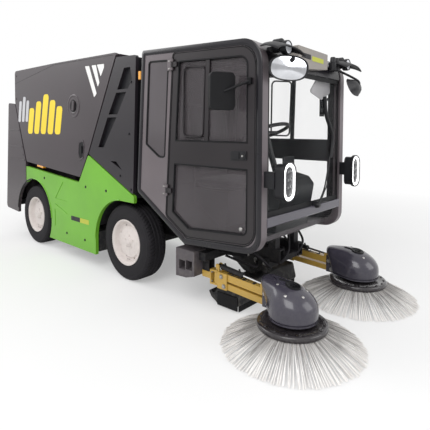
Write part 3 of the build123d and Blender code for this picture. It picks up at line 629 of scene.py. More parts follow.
def tyreSurface(centre):
    # the turned profile, pushed in wherever a groove runs: three round the tyre, slanted ones across
    s = tyreSet
    half = smoothLine(s["halfProfile"], 46)
    full = np.concatenate([half, (half * [1, -1])[-2::-1]])
    steps = s["blocks"] * s["stepsPerBlock"]
    angle = (np.arange(steps) * 2 * np.pi / steps)[:, None]
    radius = np.broadcast_to(full[:, 0], (steps, len(full))).copy()
    across = np.broadcast_to(full[:, 1], (steps, len(full)))
    ring = sum((np.abs(np.abs(across) - at) < 4.5) for at in (0, 33))
    phase = (angle * s["blocks"] / (2 * np.pi) + np.abs(across) / 62 + (across > 0) * 0.5) % 1
    slot = (phase < 0.21) & (np.abs(across) > 38)
    sipe = (phase < 0.12) & (np.abs(across) <= 30)
    groove = (radius > s["treadFrom"]) * np.clip(ring + slot + 0.5 * sipe, 0, 1)
    radius -= groove * s["grooveDepth"]
    return np.stack([np.cos(angle) * radius, across, np.sin(angle) * radius], 2) * mm + centre


for axle, x in (("front", 0.0), ("rear", -tyreSet["wheelbase"])):
    for side, sign in sides:
        body = f"{axle}_wheel_{side}"
        centre = place(x, sign * tyreSet["trackY"], tyreSet["axleHeight"])
        heap = Heap().grid(tyreSurface(centre), closeU=True)
        made = heap.piece(f"treadedTyre.{axle}.{side}", body, "tyre_rubber", smooth=35)
        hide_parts(f"tyre_{axle}_{side}")
        # wheel trim: centre cap, a rib of the disc, lip bead and nuts
        out = np.array([0, sign, 0.0])
        trim = Heap().lathe(tyreSet["cap"], centre + out * tyreSet["capAt"], out, 32)
        trim.lathe(tyreSet["discRib"], centre, out, 72)
        trim.lathe(tyreSet["lip"], centre, out, 96)
        for angle in np.arange(tyreSet["nuts"]) * 2 * np.pi / tyreSet["nuts"] + 0.3:
            way = np.array([math.cos(angle), 0, math.sin(angle)])
            trim.knob(centre + way * tyreSet["nutRing"] + out * tyreSet["nutAt"], out, 7.5, 8)
        trim.piece(f"wheelTrim.{axle}.{side}", body, "white_steel")
        valve = centre + np.array([0.0, sign * tyreSet["valveAt"][0], tyreSet["valveAt"][1]])
        stem = Heap().tube([valve, valve + out * 0.03 + [0, 0, 0.012]], 0.0035, 8)
        stem.piece(f"wheelNuts.{axle}.{side}", body, "chromed_rod", "boltSteel")
print("tyres and wheels finished")


# ---- brushes: every tuft is a fan of single strands, held by a bolted disc
brushSet = {
    "centre": (1634, 491), "tufts": 56, "strands": 36, "locks": 3, "stations": 7, "seed": 11,
    "rootRadius": 192, "rootHeight": 118, "tipRadius": 434, "tipLimit": 447.0, "tipHeight": 4.0,
    "strandWidth": 1.6, "bolts": 16, "boltRing": 0.194, "tuftRing": 0.190,
    "disc": [(0, 116), (150, 116), (206, 113), (213, 118), (216.5, 126), (216.5, 142), (213, 148),
             (206, 151), (182, 151.5), (176, 148), (122, 148), (114, 151.5), (30, 151.5), (20, 153),
             (20, 188), (0, 188)],
    "ferrule": [(0, -4), (11, -4), (12, 4), (12, 12), (0, 12)],
}


def strandRibbons(centre, seed):
    # each strand leaves the ring on a steep cone, then bends flatter towards the ground;
    # a tuft falls apart into locks that lean, bend and end each in their own way
    s = brushSet
    draw = np.random.default_rng(seed)
    count = s["tufts"] * s["strands"]
    tuft = np.repeat(np.arange(s["tufts"]), s["strands"])
    lock = np.arange(count) * s["locks"] // s["strands"]
    locks = s["tufts"] * s["locks"]
    pitch = 2 * np.pi / s["tufts"]
    base = tuft * pitch + draw.normal(0, 0.008, s["tufts"])[tuft]
    within = (lock % s["locks"] + 0.5) / s["locks"] - 0.5
    rootAngle = base + (within * 0.7 + draw.uniform(-0.12, 0.12, count)) * pitch
    spread = draw.normal(0, 0.075, count)
    shift = draw.normal(0, 0.11, locks)[lock]
    tipAngle = base + (within * 1.12 + shift + np.clip(spread, -0.17, 0.17)) * pitch
    # bright in the middle of a tuft, grey at its edges as painted shade in the gaps between tufts; it also
    # varies at random by lock and by strand
    tone = 1.25 - np.abs(spread) / 0.13 - draw.uniform(0, 0.55, locks)[lock] + draw.normal(0, 0.15, count)
    rootRadius = s["rootRadius"] + draw.uniform(-16, 16, count)
    lean = draw.normal(0, 0.7, locks)[lock]
    tipRadius = np.minimum(s["tipRadius"] + draw.normal(0, 5.0, count) + lean * 8, s["tipLimit"])
    tipHeight = s["tipHeight"] + np.abs(draw.normal(0, 2.5, count)) + (rootRadius < s["rootRadius"]) * 3
    t = np.linspace(0, 1, s["stations"])
    radius = rootRadius[:, None] + (tipRadius - rootRadius)[:, None] * (0.10 * t + 0.90 * t**0.98)
    drop = t**1.04 * (1 - 0.05 * np.sin(np.pi * t))
    height = s["rootHeight"] + (tipHeight - s["rootHeight"])[:, None] * drop
    height += (draw.normal(0, 1.5, count) + draw.normal(0, 3.0, locks)[lock])[:, None] * np.sin(np.pi * t)
    angle = rootAngle[:, None] + (tipAngle - rootAngle)[:, None] * t**0.8
    line = np.stack([np.cos(angle) * radius, np.sin(angle) * radius, height], 2) * mm + centre
    run = np.gradient(line, axis=1)
    run /= np.linalg.norm(run, axis=2)[..., None]
    side = np.cross(run, [0, 0, 1.0])
    side /= np.linalg.norm(side, axis=2)[..., None]
    wide = s["strandWidth"] * mm * (1 - 0.35 * t)[None, :, None]
    lift = np.cross(side, run) * wide * 0.9
    ring = np.stack([line + side * wide, line - side * wide, line - lift], 2)
    return ring, np.clip(tone, 0, 1)                 # ring: strand, step, corner, xyz


def addStrands(heap, ring):
    # three-sided strands with closed ends
    count, steps, corners = ring.shape[:3]
    index = np.arange(count * steps * corners).reshape(count, steps, corners)
    a, b = index[:, :-1], index[:, 1:]
    quads = np.stack([a, np.roll(a, -1, 2), np.roll(b, -1, 2), b], -1).reshape(-1, 4)
    ends = np.concatenate([index[:, -1], index[:, 0, ::-1]]).reshape(-1, 3)
    return heap.take(ring, quads.tolist() + ends.tolist())


def around(count):
    # unit vectors in the level plane, evenly round a circle
    angle = np.arange(count) * 2 * np.pi / count
    return np.stack([np.cos(angle), np.sin(angle), np.zeros(count)], 1)


for side, sign in sides:
    bx, by = brushSet["centre"]
    centre = place(bx, sign * by, 0)
    strands, shadeAndTones = strandRibbons(centre, brushSet["seed"] + (sign > 0))
    made = addStrands(Heap(), strands).piece(f"bristles.{side}", f"brush_{side}", "bristle_poly",
                                             smooth=0, outwards=False)
    # one value for each strand: painted shade at a tuft's edges mixed with random tone
    tone = made.data.attributes.new("strandTone", "FLOAT", "POINT")
    perStrand = strands.shape[1] * strands.shape[2]
    tone.data.foreach_set("value", np.repeat(shadeAndTones, perStrand).astype(np.float32))
    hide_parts(f"brush_{side}")
    disc = Heap().lathe(brushSet["disc"], centre, upwards, 96)
    for out in around(brushSet["bolts"]):
        disc.knob(centre + out * brushSet["boltRing"] + [0, 0, 0.151], upwards, 7, 7)
    for out in around(brushSet["tufts"]):
        disc.lathe(brushSet["ferrule"], centre + out * brushSet["tuftRing"] + [0, 0, 0.118],
                   out * 0.55 + [0, 0, -1.0], 8)
    disc.piece(f"brushDisc.{side}", f"brush_{side}", "black_plastic", "discBlack")
print("brushes finished")


# ---- cab trim; outlines are (x, z), depths are measured out from the middle plane
cabSet = {
    "door": [(653, 1880), (1398, 1844), (1398, 585), (795, 535), (577, 665)],
    "doorRadii": np.array([25, 125, 100, 40, 30]),
    "side": [(276, 1950), (1458, 1893), (1458, 530), (767, 477), (211, 809)],
    "sideRadii": np.array([20, 170, 130, 40, 45]), "bandIn": 21,
    "quarter": [(361, 1852), (590, 1840), (548, 1105), (480, 1105), (325, 1200)],
    "quarterRadii": [25, 25, 20, 60, 20],
    "slide": [(757, 1778), (968, 1756), (950, 1266), (752, 1270)], "slideRound": 38,
    "upright": [(975, 1800), (1012, 1798), (998, 1236), (962, 1236)],
    "paneIn": 58, "waistLow": 1062, "waistHigh": 1235,
    # foot, top and width of each rubber or steel section
    "doorGap": (562, 577.5, 5), "doorLip": (574.5, 579, 9), "quarterSeal": (564, 578, 16),
    "bandSection": (574, 583, 40), "paneSeal": (566, 578, 15), "slideSeal": (565, 577, 13),
    "tintY": (567.6, 569), "uprightY": (562, 573),
    "hingeFoot": 650, "hingeTop": 1880, "hingeLean": 0.06255, "hingeZ": (856, 1800),
}
latchSet = {
    "plate": [(1209, 1177), (1341, 1183), (1341, 1122), (1209, 1116)], "plateY": (574, 581),
    "pull": [(1220, 1168), (1282, 1171), (1282, 1129), (1220, 1126)], "pullY": (579, 586),
    "lock": (1312, 580, 1150), "lockRim": [(0, 2), (9, 2), (10, 6), (22, 6), (24, 3), (24, 0)],
    "lockCore": [(0, 9), (7, 9), (8, 7), (8, 0)],
    "clamps": ((1286, 668), (1340, 655)), "clamp": [(0, 13), (9, 12.5), (13, 9), (14, 0), (0, 0)],
}
paneIn, doorRadii = cabSet["paneIn"], cabSet["doorRadii"]
paneRadii = np.where(doorRadii > paneIn + 8, doorRadii - paneIn, 8)
paneLoop = roundedLoop(insetLoop(cabSet["door"], paneIn), paneRadii)
paneLoops = (cutLoop(paneLoop, cabSet["waistHigh"], True), cutLoop(paneLoop, cabSet["waistLow"], False))
quarter = roundedLoop(cabSet["quarter"], cabSet["quarterRadii"])
band = roundedLoop(insetLoop(cabSet["side"], cabSet["bandIn"]),
                   np.maximum(cabSet["sideRadii"] - cabSet["bandIn"], 10), 10)
for side, sign in sides:
    door, outwards = f"door_{side}", (0, sign, 0)
    seal = Heap()
    for grow, key in ((3, "doorGap"), (13, "doorLip")):
        loop = roundedLoop(insetLoop(cabSet["door"], -grow), doorRadii + grow)
        seal.strip(loop, *cabSet[key], sign)
    seal.strip(quarter, *cabSet["quarterSeal"], sign)
    seal.piece(f"doorSeal.{side}", "root", "black_plastic", "sealRubber", 30)
    sideBand = Heap().strip(band, *cabSet["bandSection"], sign)
    sideBand.piece(f"sideBand.{side}", "root", "graphite_paint", "bandGraphite", 60)
    tint = Heap().slab(quarter, *(sign * y for y in cabSet["tintY"]))
    tint.piece(f"quarterTint.{side}", "root", "smoked_glass", "quarterTint")
    gasket = Heap()
    for loop in paneLoops:
        gasket.strip(loop, *cabSet["paneSeal"], sign)
    gasket.piece(f"paneGasket.{side}", door, "black_plastic", "sealRubber", 30)
    # sliding pane: its rounded frame and the upright it closes against
    loop = roundedLoop(cabSet["slide"], cabSet["slideRound"])
    slide = Heap().strip(loop, *cabSet["slideSeal"], sign)
    slide.slab(cabSet["upright"], *(sign * y for y in cabSet["uprightY"]))
    slide.piece(f"slidingFrame.{side}", door, "black_plastic", "doorGraphite")
    # latch: recessed plate, lock barrel and pull, with two glass clamps low down
    x, y, z = latchSet["lock"]
    lock = place(x, sign * y, z)
    latch = Heap().slab(roundedLoop(latchSet["plate"], 9), *(sign * y for y in latchSet["plateY"]))
    latch.lathe(latchSet["lockRim"], lock, outwards, 32)
    latch.slab(roundedLoop(latchSet["pull"], 7), *(sign * y for y in latchSet["pullY"]))
    latch.piece(f"doorLatch.{side}", door, "black_plastic", bevel=0.0015)
    steel = Heap().lathe(latchSet["lockCore"], lock, outwards, 24)
    for x, z in latchSet["clamps"]:
        steel.lathe(latchSet["clamp"], place(x, sign * 559, z), outwards, 24)
    steel.piece(f"doorBright.{side}", door, "chromed_rod", "boltSteel")
    hingeBolts = Heap()
    for z in cabSet["hingeZ"]:
        x = cabSet["hingeFoot"] - (cabSet["hingeTop"] - z) * cabSet["hingeLean"]
        for dx in (-34, -24):
            for dz in (-28, 28):
                hingeBolts.knob(place(x + dx, sign * 589.6, z + dz), outwards, 4.5, 5)
    hingeBolts.piece(f"hingeBolts.{side}", "root", "chromed_rod", "boltSteel")
print("cab trim finished")


# ---- screen: wiper, border, sun blind; outlines here are (y, z)
screenSet = {
    "pivot": (1470, 123, 762), "spindle": [(0, 22), (16, 22), (20, 14), (24, 0), (24, -30), (0, -30)],
    "arms": ((0, 7.0), (34, 5.0)),        # drop, radius at the spindle
    # from the pivot: x, y, z, and what the drop adds to y and z
    "arm": [(8, 0, 0, 0.6, 0), (10, 78, 92, 0.5, 0), (-2, 142, 172, 0.4, -1), (-12, 220, 350, 0, -1)],
    "blade": [(360, 1104), (383, 1269), (326, 1362), (269, 1449), (246, 1576)], "bladeX": 1449,
    "bladeParts": ((0.008, 0.015, 8), (-0.004, 0.0032, 6)),        # forward, radius, sides
    "border": [(-514, 1723), (514, 1723), (514, 758), (-514, 758)], "borderWidth": 34,
    "borderX": (1439.8, 1442.5), "blindX": (1392, 1400), "blindRound": 16,
    "blind": [(120, 1608), (221, 1711), (444, 1712), (449, 1619), (307, 1556)],
}
px, py, pz = screenSet["pivot"]
wiper = Heap().lathe(screenSet["spindle"], place(px, py, pz), forwards, 32)
for drop, wide in screenSet["arms"]:
    arm = smoothLine([place(px + x, py + y + drop * dropY, pz + z + drop * dropZ)
                      for x, y, z, dropY, dropZ in screenSet["arm"]], 24)
    wiper.tube(arm, np.linspace(wide, wide * 0.7, len(arm)) * mm, 8)
blade = smoothLine([place(screenSet["bladeX"], *point) for point in screenSet["blade"]], 28)
for ahead, radius, count in screenSet["bladeParts"]:
    wiper.tube(blade + [ahead, 0, 0], radius, count)
wiper.piece("screenWiper", "root", "black_plastic")

inner = insetLoop(screenSet["border"], screenSet["borderWidth"])
near, far = screenSet["borderX"]
rows = [flatRing(loop, x, 0) for loop, x in (
    (screenSet["border"], near), (screenSet["border"], far), (inner, far), (inner, near))]
border = Heap().grid(np.array(rows), closeU=True, closeV=True)
border.piece("screenBorder", "root", "black_plastic", "sealRubber")

# ---- roof box with two blank plates: name, look, outline, corner, depths, bevel
roofBoxTable = [
    ("roofBox", "boxGrey", [(-252, 1884), (174, 1877), (174, 1764), (-160, 1734), (-236, 1762)], 9,
     1434, 1512, 0.003),
    ("roofBoxDark", "black_plastic", [(-204, 1841), (-80, 1839), (-80, 1806), (-204, 1808)], 4,
     1511, 1513.5, 0),
    ("roofBoxPlate", "plateLime", [(-60, 1834), (105, 1832), (105, 1799), (-60, 1801)], 4,
     1511, 1513.5, 0),
]
for name, look, loop, corner, near, far, bevel in roofBoxTable:
    plate = Heap().slab(roundedLoop(loop, corner), near, far, 0)
    plate.piece(name, "root", "grey_plastic", look, bevel=bevel)
blind = Heap().slab(roundedLoop(screenSet["blind"], screenSet["blindRound"]), *screenSet["blindX"], 0)
blind.piece("sunBlind", "root", "grey_plastic", "blindGrey", bevel=0.002)

# ---- work lamps under hoods, and convex mirrors on curved stalks
hoodSet = {
    "right": {"y": -462, "width": 330}, "left": {"y": 430, "width": 280},
    "x": 1438, "z": 1836, "length": 165, "height": 34, "droop": 44, "shift": 12, "wall": 0.009,
    "lamp": [(0, 0), (38, 0), (44, 6), (46, 30), (44, 44), (40, 46), (38, 40), (0, 40)],
    "lens": [(0, 41), (24, 44), (38, 41)], "lampAt": (1512, 438, 1832),
    "bar": [(1440, 440, 1830), (1515, 440, 1832)], "barRadius": 0.012,
}
mirrorSet = {
    "right": {"centre": (1560, -440, 1702), "facing": (0.86, -0.34, -0.16), "wide": 138, "tall": 72},
    "left": {"centre": (1560, 520, 1660), "facing": (-0.86, -0.15, -0.34), "wide": 142, "tall": 66},
    "squareness": 0.78, "steps": 64, "stalk": 0.009, "foot": (1452, 330, 1806), "bend": (1500, 1780),
    # share of the outline's size, and metres ahead of its plane
    "bowl": [(0, -.058), (.35, -.054), (.62, -.044), (.84, -.026), (1.02, -.004), (1.10, .001),
             (1.07, .004), (.97, .001)],
    "glass": [(0, .018), (.3, .016), (.6, .011), (.85, .005), (.985, .001)],
}
knobSet = {"y": (300, 352), "x": 1492, "z": 1838,
           "profile": [(0, 40), (16, 40), (20, 34), (22, 0), (30, -4), (30, -60), (0, -60)]}


def power(wave, exponent):
    # a sine's or cosine's size raised to an exponent, with its sign kept
    return np.sign(wave) * np.abs(wave) ** exponent


def hoodSurface(side, sign):
    # a visor: an arched sheet that runs forwards and droops
    s = hoodSet
    u, v = np.meshgrid(np.linspace(0, 1, 18), np.linspace(-1, 1, 21), indexing="ij")
    half = s[side]["width"] / 2 * (0.72 + 0.28 * np.sin(np.pi * np.minimum(u * 1.1, 1) * 0.5))
    x = s["x"] + u * s["length"]
    y = s[side]["y"] + v * half + s["shift"] * u * sign
    z = s["z"] + s["height"] * (1 - np.abs(v)**2.6) - s["droop"] * u**2.2
    return np.stack([x, y, z], 2) * mm + [axleX, 0, 0]


def mirrorSurface(side, profile):
    # a squared ellipse, shrunk and moved along the way it faces by each row of the profile
    s, spec = mirrorSet, mirrorSet[side]
    facing = np.array(spec["facing"]) / np.linalg.norm(spec["facing"])
    level = np.cross(upwards, facing)
    level /= np.linalg.norm(level)
    angle = (np.arange(s["steps"]) * 2 * np.pi / s["steps"])[:, None, None]
    share, ahead = np.array(profile).T[:, None, :, None]
    across = power(np.cos(angle), s["squareness"]) * level * spec["wide"] * mm
    down = power(np.sin(angle), s["squareness"]) * np.cross(facing, level) * spec["tall"] * mm
    centre = place(*spec["centre"])
    return centre + (across + down) * share + facing * ahead, centre - facing * 0.052


for side, sign in sides:
    hood = Heap().grid(hoodSurface(side, sign))
    made = hood.piece(f"lampHood.{side}", "root", "black_plastic", smooth=60, outwards=False)
    addWall(made, "hoodWall", hoodSet["wall"])
    x, y, z = hoodSet["lampAt"]
    spot = place(x, sign * y, z)
    workLamp = Heap().lathe(hoodSet["lamp"], spot, forwards, 40)
    workLamp.tube([place(x, sign * y, z) for x, y, z in hoodSet["bar"]], hoodSet["barRadius"])
    workLamp.piece(f"workLamp.{side}", "root", "black_plastic")
    Heap().lathe(hoodSet["lens"], spot, forwards, 40).piece(f"workLens.{side}", "root", "lamp_lens")
    # convex mirror: a shallow bowl, glass set into its rim
    surface, bowlBack = mirrorSurface(side, mirrorSet["bowl"])
    x, y, z = mirrorSet[side]["centre"]
    footX, footY, footZ = mirrorSet["foot"]
    bendX, bendZ = mirrorSet["bend"]
    stalk = smoothLine([place(footX, sign * footY, footZ), place(bendX, (sign * footY + y) / 2, bendZ),
                        place(x + 34, y, z + 55), bowlBack], 20)
    bowl = Heap().grid(surface, closeU=True).tube(stalk, mirrorSet["stalk"])
    bowl.piece(f"convexShell.{side}", "root", "black_plastic")
    pane = Heap().grid(mirrorSurface(side, mirrorSet["glass"])[0], closeU=True)
    pane.piece(f"convexGlass.{side}", "root", "chromed_rod", "mirrorSilver")
knobs = Heap()
for y in knobSet["y"]:
    knobs.lathe(knobSet["profile"], place(knobSet["x"], y, knobSet["z"]), upwards, 24)
knobs.piece("cornerKnobs", "root", "black_plastic")

# ---- headlamps: each ring is how far in from the outline, and its x
lampSet = {
    "centre": (492, 1000), "half": np.array([66, 116]), "round": 60,
    "bezel": [(-7, 1588), (-8, 1606), (-3, 1612), (1, 1606), (2, 1600)],
    "ring": [(0, 1602.5), (4, 1607), (18, 1607), (22, 1603)],
    "core": [(21, 1603), (25, 1604), (38, 1604), (65.9, 1604)],
    "bulbs": (48, -4, -52), "bulb": [(0, 3), (18, 7), (26, 3), (29, 0)],
}


def lampRings(middle, rings):
    # the lamp's rounded outline, shrunk towards its middle for each ring
    loop = roundedLoop(np.array([(-1, 1), (1, 1), (1, -1), (-1, -1)]) * lampSet["half"], lampSet["round"], 10)
    return Heap().rings([flatRing(middle + loop * (1 - amount / lampSet["half"]), x, 0)
                         for amount, x in rings])


for side, sign in sides:
    middle = np.array(lampSet["centre"]) * [sign, 1]
    lampRings(middle, lampSet["bezel"]).piece(f"lampBezel.{side}", "root", "black_plastic")
    lampRings(middle, lampSet["ring"]).piece(f"lampRing.{side}", "root", "lamp_lens", "ringLight")
    core = lampRings(middle, lampSet["core"])
    for dz in lampSet["bulbs"]:
        core.lathe(lampSet["bulb"], place(1603, middle[0], middle[1] + dz), forwards, 32)
    core.piece(f"lampCore.{side}", "root", "lamp_lens", "darkLens")
print("front finished")


# ---- side panels: plain marks, seams, fasteners, recesses; outlines are (x, z)
sideSet = {
    "face": 575, "stripes": [[(-593, 1913), (-522, 1909), (-396, 1646), (-436, 1612)],
                             [(-477, 1909), (-405, 1906), (-350, 1745), (-374, 1704)],
                             [(-386, 1907), (-272, 1902), (-276, 1868), (-327, 1795)]],
    "seams": [((-2192, 1862), (-1204, 1992)), ((-1204, 1992), (-130, 1966))], "seamWidth": 3.5,
    "skirtBolts": [(-596, 764), (-250, 761), (-1447, 780), (-613, 247), (-960, 255)],
    "columnBolts": [(126, 1712), (96, 1279), (-34, 914), (122, 809)],
    "ledges": [(-2084, 1303), (-2004, 1106), (-1940, 950)], "ledgeRear": -2392,
    "plates": (-872, -702, -542), "plateZ": (404, 448),
}
barTable = {
    "yellowBars": {"look": "markYellow", "start": (-1852, 1262), "step": 161, "count": 5,
                   "width": 122, "height": 430, "lean": 86},
    "silverBars": {"look": "markSilver", "start": (-2106, 1400), "step": 98, "count": 3,
                   "width": 66, "height": 292, "lean": 46},
    "shrink": 0.16, "round": 0.3,
}
hopperSet = {
    "latch": (-812, 1543), "dish": [(92, -0.5), (92, 1), (0, 1)],
    "rings": [(118, -0.5), (116, 3), (106, 5), (96, 3), (88, 1.5), (76, 4), (66, 4), (60, 1)],
    "lever": [(-830, 1500), (-790, 1500), (-780, 1590), (-815, 1596)],
    "bolts": [(-2150, 1950), (-2160, 1680), (-1990, 1010)],
    "grip": [(-712, 1190), (-640, 1212), (-618, 1150), (-640, 1040), (-700, 1018), (-724, 1080)],
    "gripRings": ((1.12, 574.5), (1.10, 579), (1.0, 580), (0.92, 576), (0.86, 575.3)),
    "handle": [(-690, 1150), (-655, 1156), (-652, 1084), (-686, 1078)],
}
markerTable = [  # name, outline, corner, depths
    ("amberMarker", [(-1624, 917), (-1480, 905), (-1480, 884), (-1624, 896)], 6, 540, 574),
    ("cabMarker", [(232, 1790), (262, 1789), (262, 1722), (232, 1722)], 8, 560, 583),
]
archTable = [  # name, middle's x and z, radius, start and end in degrees, slot
    ("archLip.28.92", -28, 303, 401, 92, 180, "green_panel"),
    ("archLip.1700.4", -1700, 333, 418, 4, 90, "green_panel"),
    ("archLip.1725.92", -1725, 333, 410, 92, 175, "black_plastic"),
]
face = sideSet["face"]
grip = roundedLoop(hopperSet["grip"], 18)
gripMiddle = grip.mean(0)


def decal(heap, loop, sign, proud=0.8):
    # a thin plate on the side panel
    return heap.slab(loop, sign * (face - 0.4), sign * (face + proud))


for side, sign in sides:
    outwards = (0, sign, 0)
    marks = Heap()
    for stripe in sideSet["stripes"]:
        decal(marks, roundedLoop(stripe, 5), sign)
    marks.piece(f"whiteStripes.{side}", "hopper", "white_steel", "markWhite")
    for key in ("yellowBars", "silverBars"):
        # a row of leaning bars, shorter towards both ends
        s, bars = barTable[key], Heap()
        x, z = s["start"]
        wide = s["width"]
        for k in range(s["count"]):
            share = 1 - barTable["shrink"] * abs(k - (s["count"] - 1) / 2)
            high, lean = s["height"] * share, s["lean"] * share
            loop = [(x, z), (x + wide, z), (x + wide + lean, z + high), (x + lean, z + high)]
            decal(bars, roundedLoop(loop, wide * barTable["round"]), sign)
            x += s["step"]
        bars.piece(f"{key}.{side}", "hopper", "gold_paint", s["look"])
    seam, drop = Heap(), sideSet["seamWidth"]
    for (x0, z0), (x1, z1) in sideSet["seams"]:
        decal(seam, [(x0, z0), (x1, z1), (x1, z1 - drop), (x0, z0 - drop)], sign, 0.5)
    latch = place(hopperSet["latch"][0], sign * face, hopperSet["latch"][1])
    seam.lathe(hopperSet["dish"], latch, outwards)
    seam.piece(f"hopperSeams.{side}", "hopper", "black_plastic", "sealRubber")
    ring = Heap().lathe(hopperSet["rings"], latch, outwards, 64)
    ring.slab(roundedLoop(hopperSet["lever"], 10), sign * face, sign * 590)
    for x, z in hopperSet["bolts"]:
        ring.knob(place(x, sign * face, z), outwards, 8, 5, 32, 0.5)
    ring.rings([flatRing(gripMiddle + (grip - gripMiddle) * share, sign * y)
                for share, y in hopperSet["gripRings"]])
    ring.piece(f"hopperLatch.{side}", "hopper", "graphite_paint", smooth=50)
    hollow = decal(Heap(), gripMiddle + (grip - gripMiddle) * 0.9, sign, 0.6)
    hollow.slab(roundedLoop(hopperSet["handle"], 8), sign * face, sign * 584)
    hollow.piece(f"gripHollow.{side}", "hopper", "black_plastic", "sealRubber")
    for name, loop, corner, near, far in markerTable:
        marker = Heap().slab(roundedLoop(loop, corner), sign * near, sign * far)
        marker.piece(f"{name}.{side}", "root", "red_lens", "amberLens", bevel=0.002)
    bolts = Heap()
    for x, z in sideSet["skirtBolts"] + sideSet["columnBolts"]:
        bolts.knob(place(x, sign * face, z), outwards, 8.5, 6, 32, 0.5)
    bolts.piece(f"panelBolts.{side}", "root", "black_plastic")
    # pressed ledges of the tail's side
    ledges, rear = Heap(), sideSet["ledgeRear"]
    for x, z in sideSet["ledges"]:
        loop = roundedLoop([(rear, z + 9), (x, z + 5), (x - 6, z - 7), (rear, z - 5)], 3)
        ledges.slab(loop, sign * (face - 0.5), sign * 581)
    ledges.piece(f"tailLedges.{side}", "root", "graphite_paint", bevel=0.002)
    # two blank plates on the skirt
    rear, middle, front = sideSet["plates"]
    low, high = sideSet["plateZ"]
    for name, look, x0, x1 in (("skirtPlateDark", "black_plastic", rear, middle),
                               ("skirtPlateLime", "plateLime", middle, front)):
        loop = roundedLoop([(x0, high), (x1, high), (x1, low), (x0, low)], 4)
        decal(Heap(), loop, sign, 1.2).piece(f"{name}.{side}", "root", "green_panel", look)
    # rolled lip of the arches
    for name, x, z, radius, start, end, slot in archTable:
        angle = np.radians(np.linspace(start, end, 40))
        arc = np.stack([x + np.cos(angle) * radius, z + np.sin(angle) * radius], 1)
        Heap().tube(flatRing(arc, sign * face), 0.007, 8).piece(f"{name}.{side}", "root", slot, smooth=60)
print("sides finished")


# ---- brush gear: covers, pins, pipes
gearSet = {
    "armY": 450, "bars": {"upper": (1050, 276), "lower": (1075, 212)}, "reach": (375, -19),
    "nut": [(0, 0), (17, 0), (17, 3), (12, 3), (12, 9), (9, 12), (0, 12)], "nutAt": 33.6,
    "pipes": [(1090, 303), (1120, 297), (1250, 289), (1330, 283)], "pipeY": 9, "pipeRadius": 0.0045,
    "clips": (1130, 1235, 1320), "clipTop": 25,
    "ramBase": (1005, 338), "ramEye": (1395, 301), "glands": (0.033, 0.208), "glandRadius": 20.5,
    "carrierX": 948, "carrierZ": (216, 284), "stop": [(0, 8), (10, 8), (16, 4), (16, 0), (0, 0)],
}
coverSet = {
    "proud": 1.5, "rows": 30, "frontY": 491, "rearY": 458, "wall": 0.003,
    # height, front circle's x and radius, rear circle's x and radius
    "levels": [(182, 1640, 150, 1508, 70), (250, 1640, 149, 1498, 76), (300, 1628, 134, 1486, 80),
               (340, 1604, 106, 1474, 78), (364, 1572, 72, 1466, 62), (374, 1540, 36, 1462, 34),
               (377, 1520, 2, 1470, 1.5)],
    "mouthFront": 1474, "mouthHalf": 0.040, "mouthTop": 0.322,
    "recess": [(50, -8), (48, 3.5), (43, 5), (37, 3), (35, 1.5), (0, 1.5)], "recessAt": (1634, 486),
    "recessBolts": (0.5, 1.8, 3.1, 4.4, 5.4), "recessRing": 0.018, "slot": ((1600, 476), (1516, 462)),
    "rivets": ((1722, 520), (1700, 440), (1650, 590), (1560, 548)),
    "rivet": [(0, 4), (6, 3.4), (9, 1), (9, -3), (0, -3)],
}


def coverSurface(sign):
    # a hood over the arm's end: every level is two circles and their tangents, blended between
    # set heights
    s, rows = coverSet, []
    for z, bx, big, sx, small in smoothLine(s["levels"], s["rows"]):
        big, small = max(big, 1.0) + s["proud"], max(small, 0.8) + s["proud"]
        front, rear = np.array([bx, s["frontY"]]), np.array([sx, s["rearY"]])
        run = rear - front
        heading = math.atan2(run[1], run[0])
        lean = math.acos((big - small) / np.linalg.norm(run))
        one = heading + lean + np.linspace(0, 2 * math.pi - 2 * lean, 56)
        two = heading - lean + np.linspace(0, 2 * lean, 28)
        ring = np.concatenate([front + big * np.stack([np.cos(one), np.sin(one)], 1),
                               rear + small * np.stack([np.cos(two), np.sin(two)], 1)])
        rows.append(np.insert(ring * [1, sign], 2, z + s["proud"], 1) * mm + [axleX, 0, 0])
    return np.array(rows)


def onHood(surface, x, y):
    # the hood's point nearest to a drawing (x, y), and the way the surface faces there
    off = ((surface[1:-1, :, :2] - place(x, y, 0)[:2]) ** 2).sum(2)
    i, j = np.unravel_index(np.argmin(off), off.shape)
    i += 1
    count = surface.shape[1]
    along = surface[i, (j + 1) % count] - surface[i, (j - 1) % count]
    out = np.cross(surface[i + 1, j] - surface[i - 1, j], along)
    return surface[i, j], out * np.sign(out[2]) / np.linalg.norm(out)


def openMouth(mesh):
    # the arms pass through an opening at the rear: faces there are taken out
    shape = bmesh.new()
    shape.from_mesh(mesh)
    gone = []
    for facet in shape.faces:
        x, y, z = facet.calc_center_median()
        beside = abs(abs(y) - gearSet["armY"] * mm) < coverSet["mouthHalf"]
        if beside and x < axleX + coverSet["mouthFront"] * mm and z < coverSet["mouthTop"]:
            gone.append(facet)
    bmesh.ops.delete(shape, geom=gone, context="FACES")
    shape.to_mesh(mesh)
    shape.free()


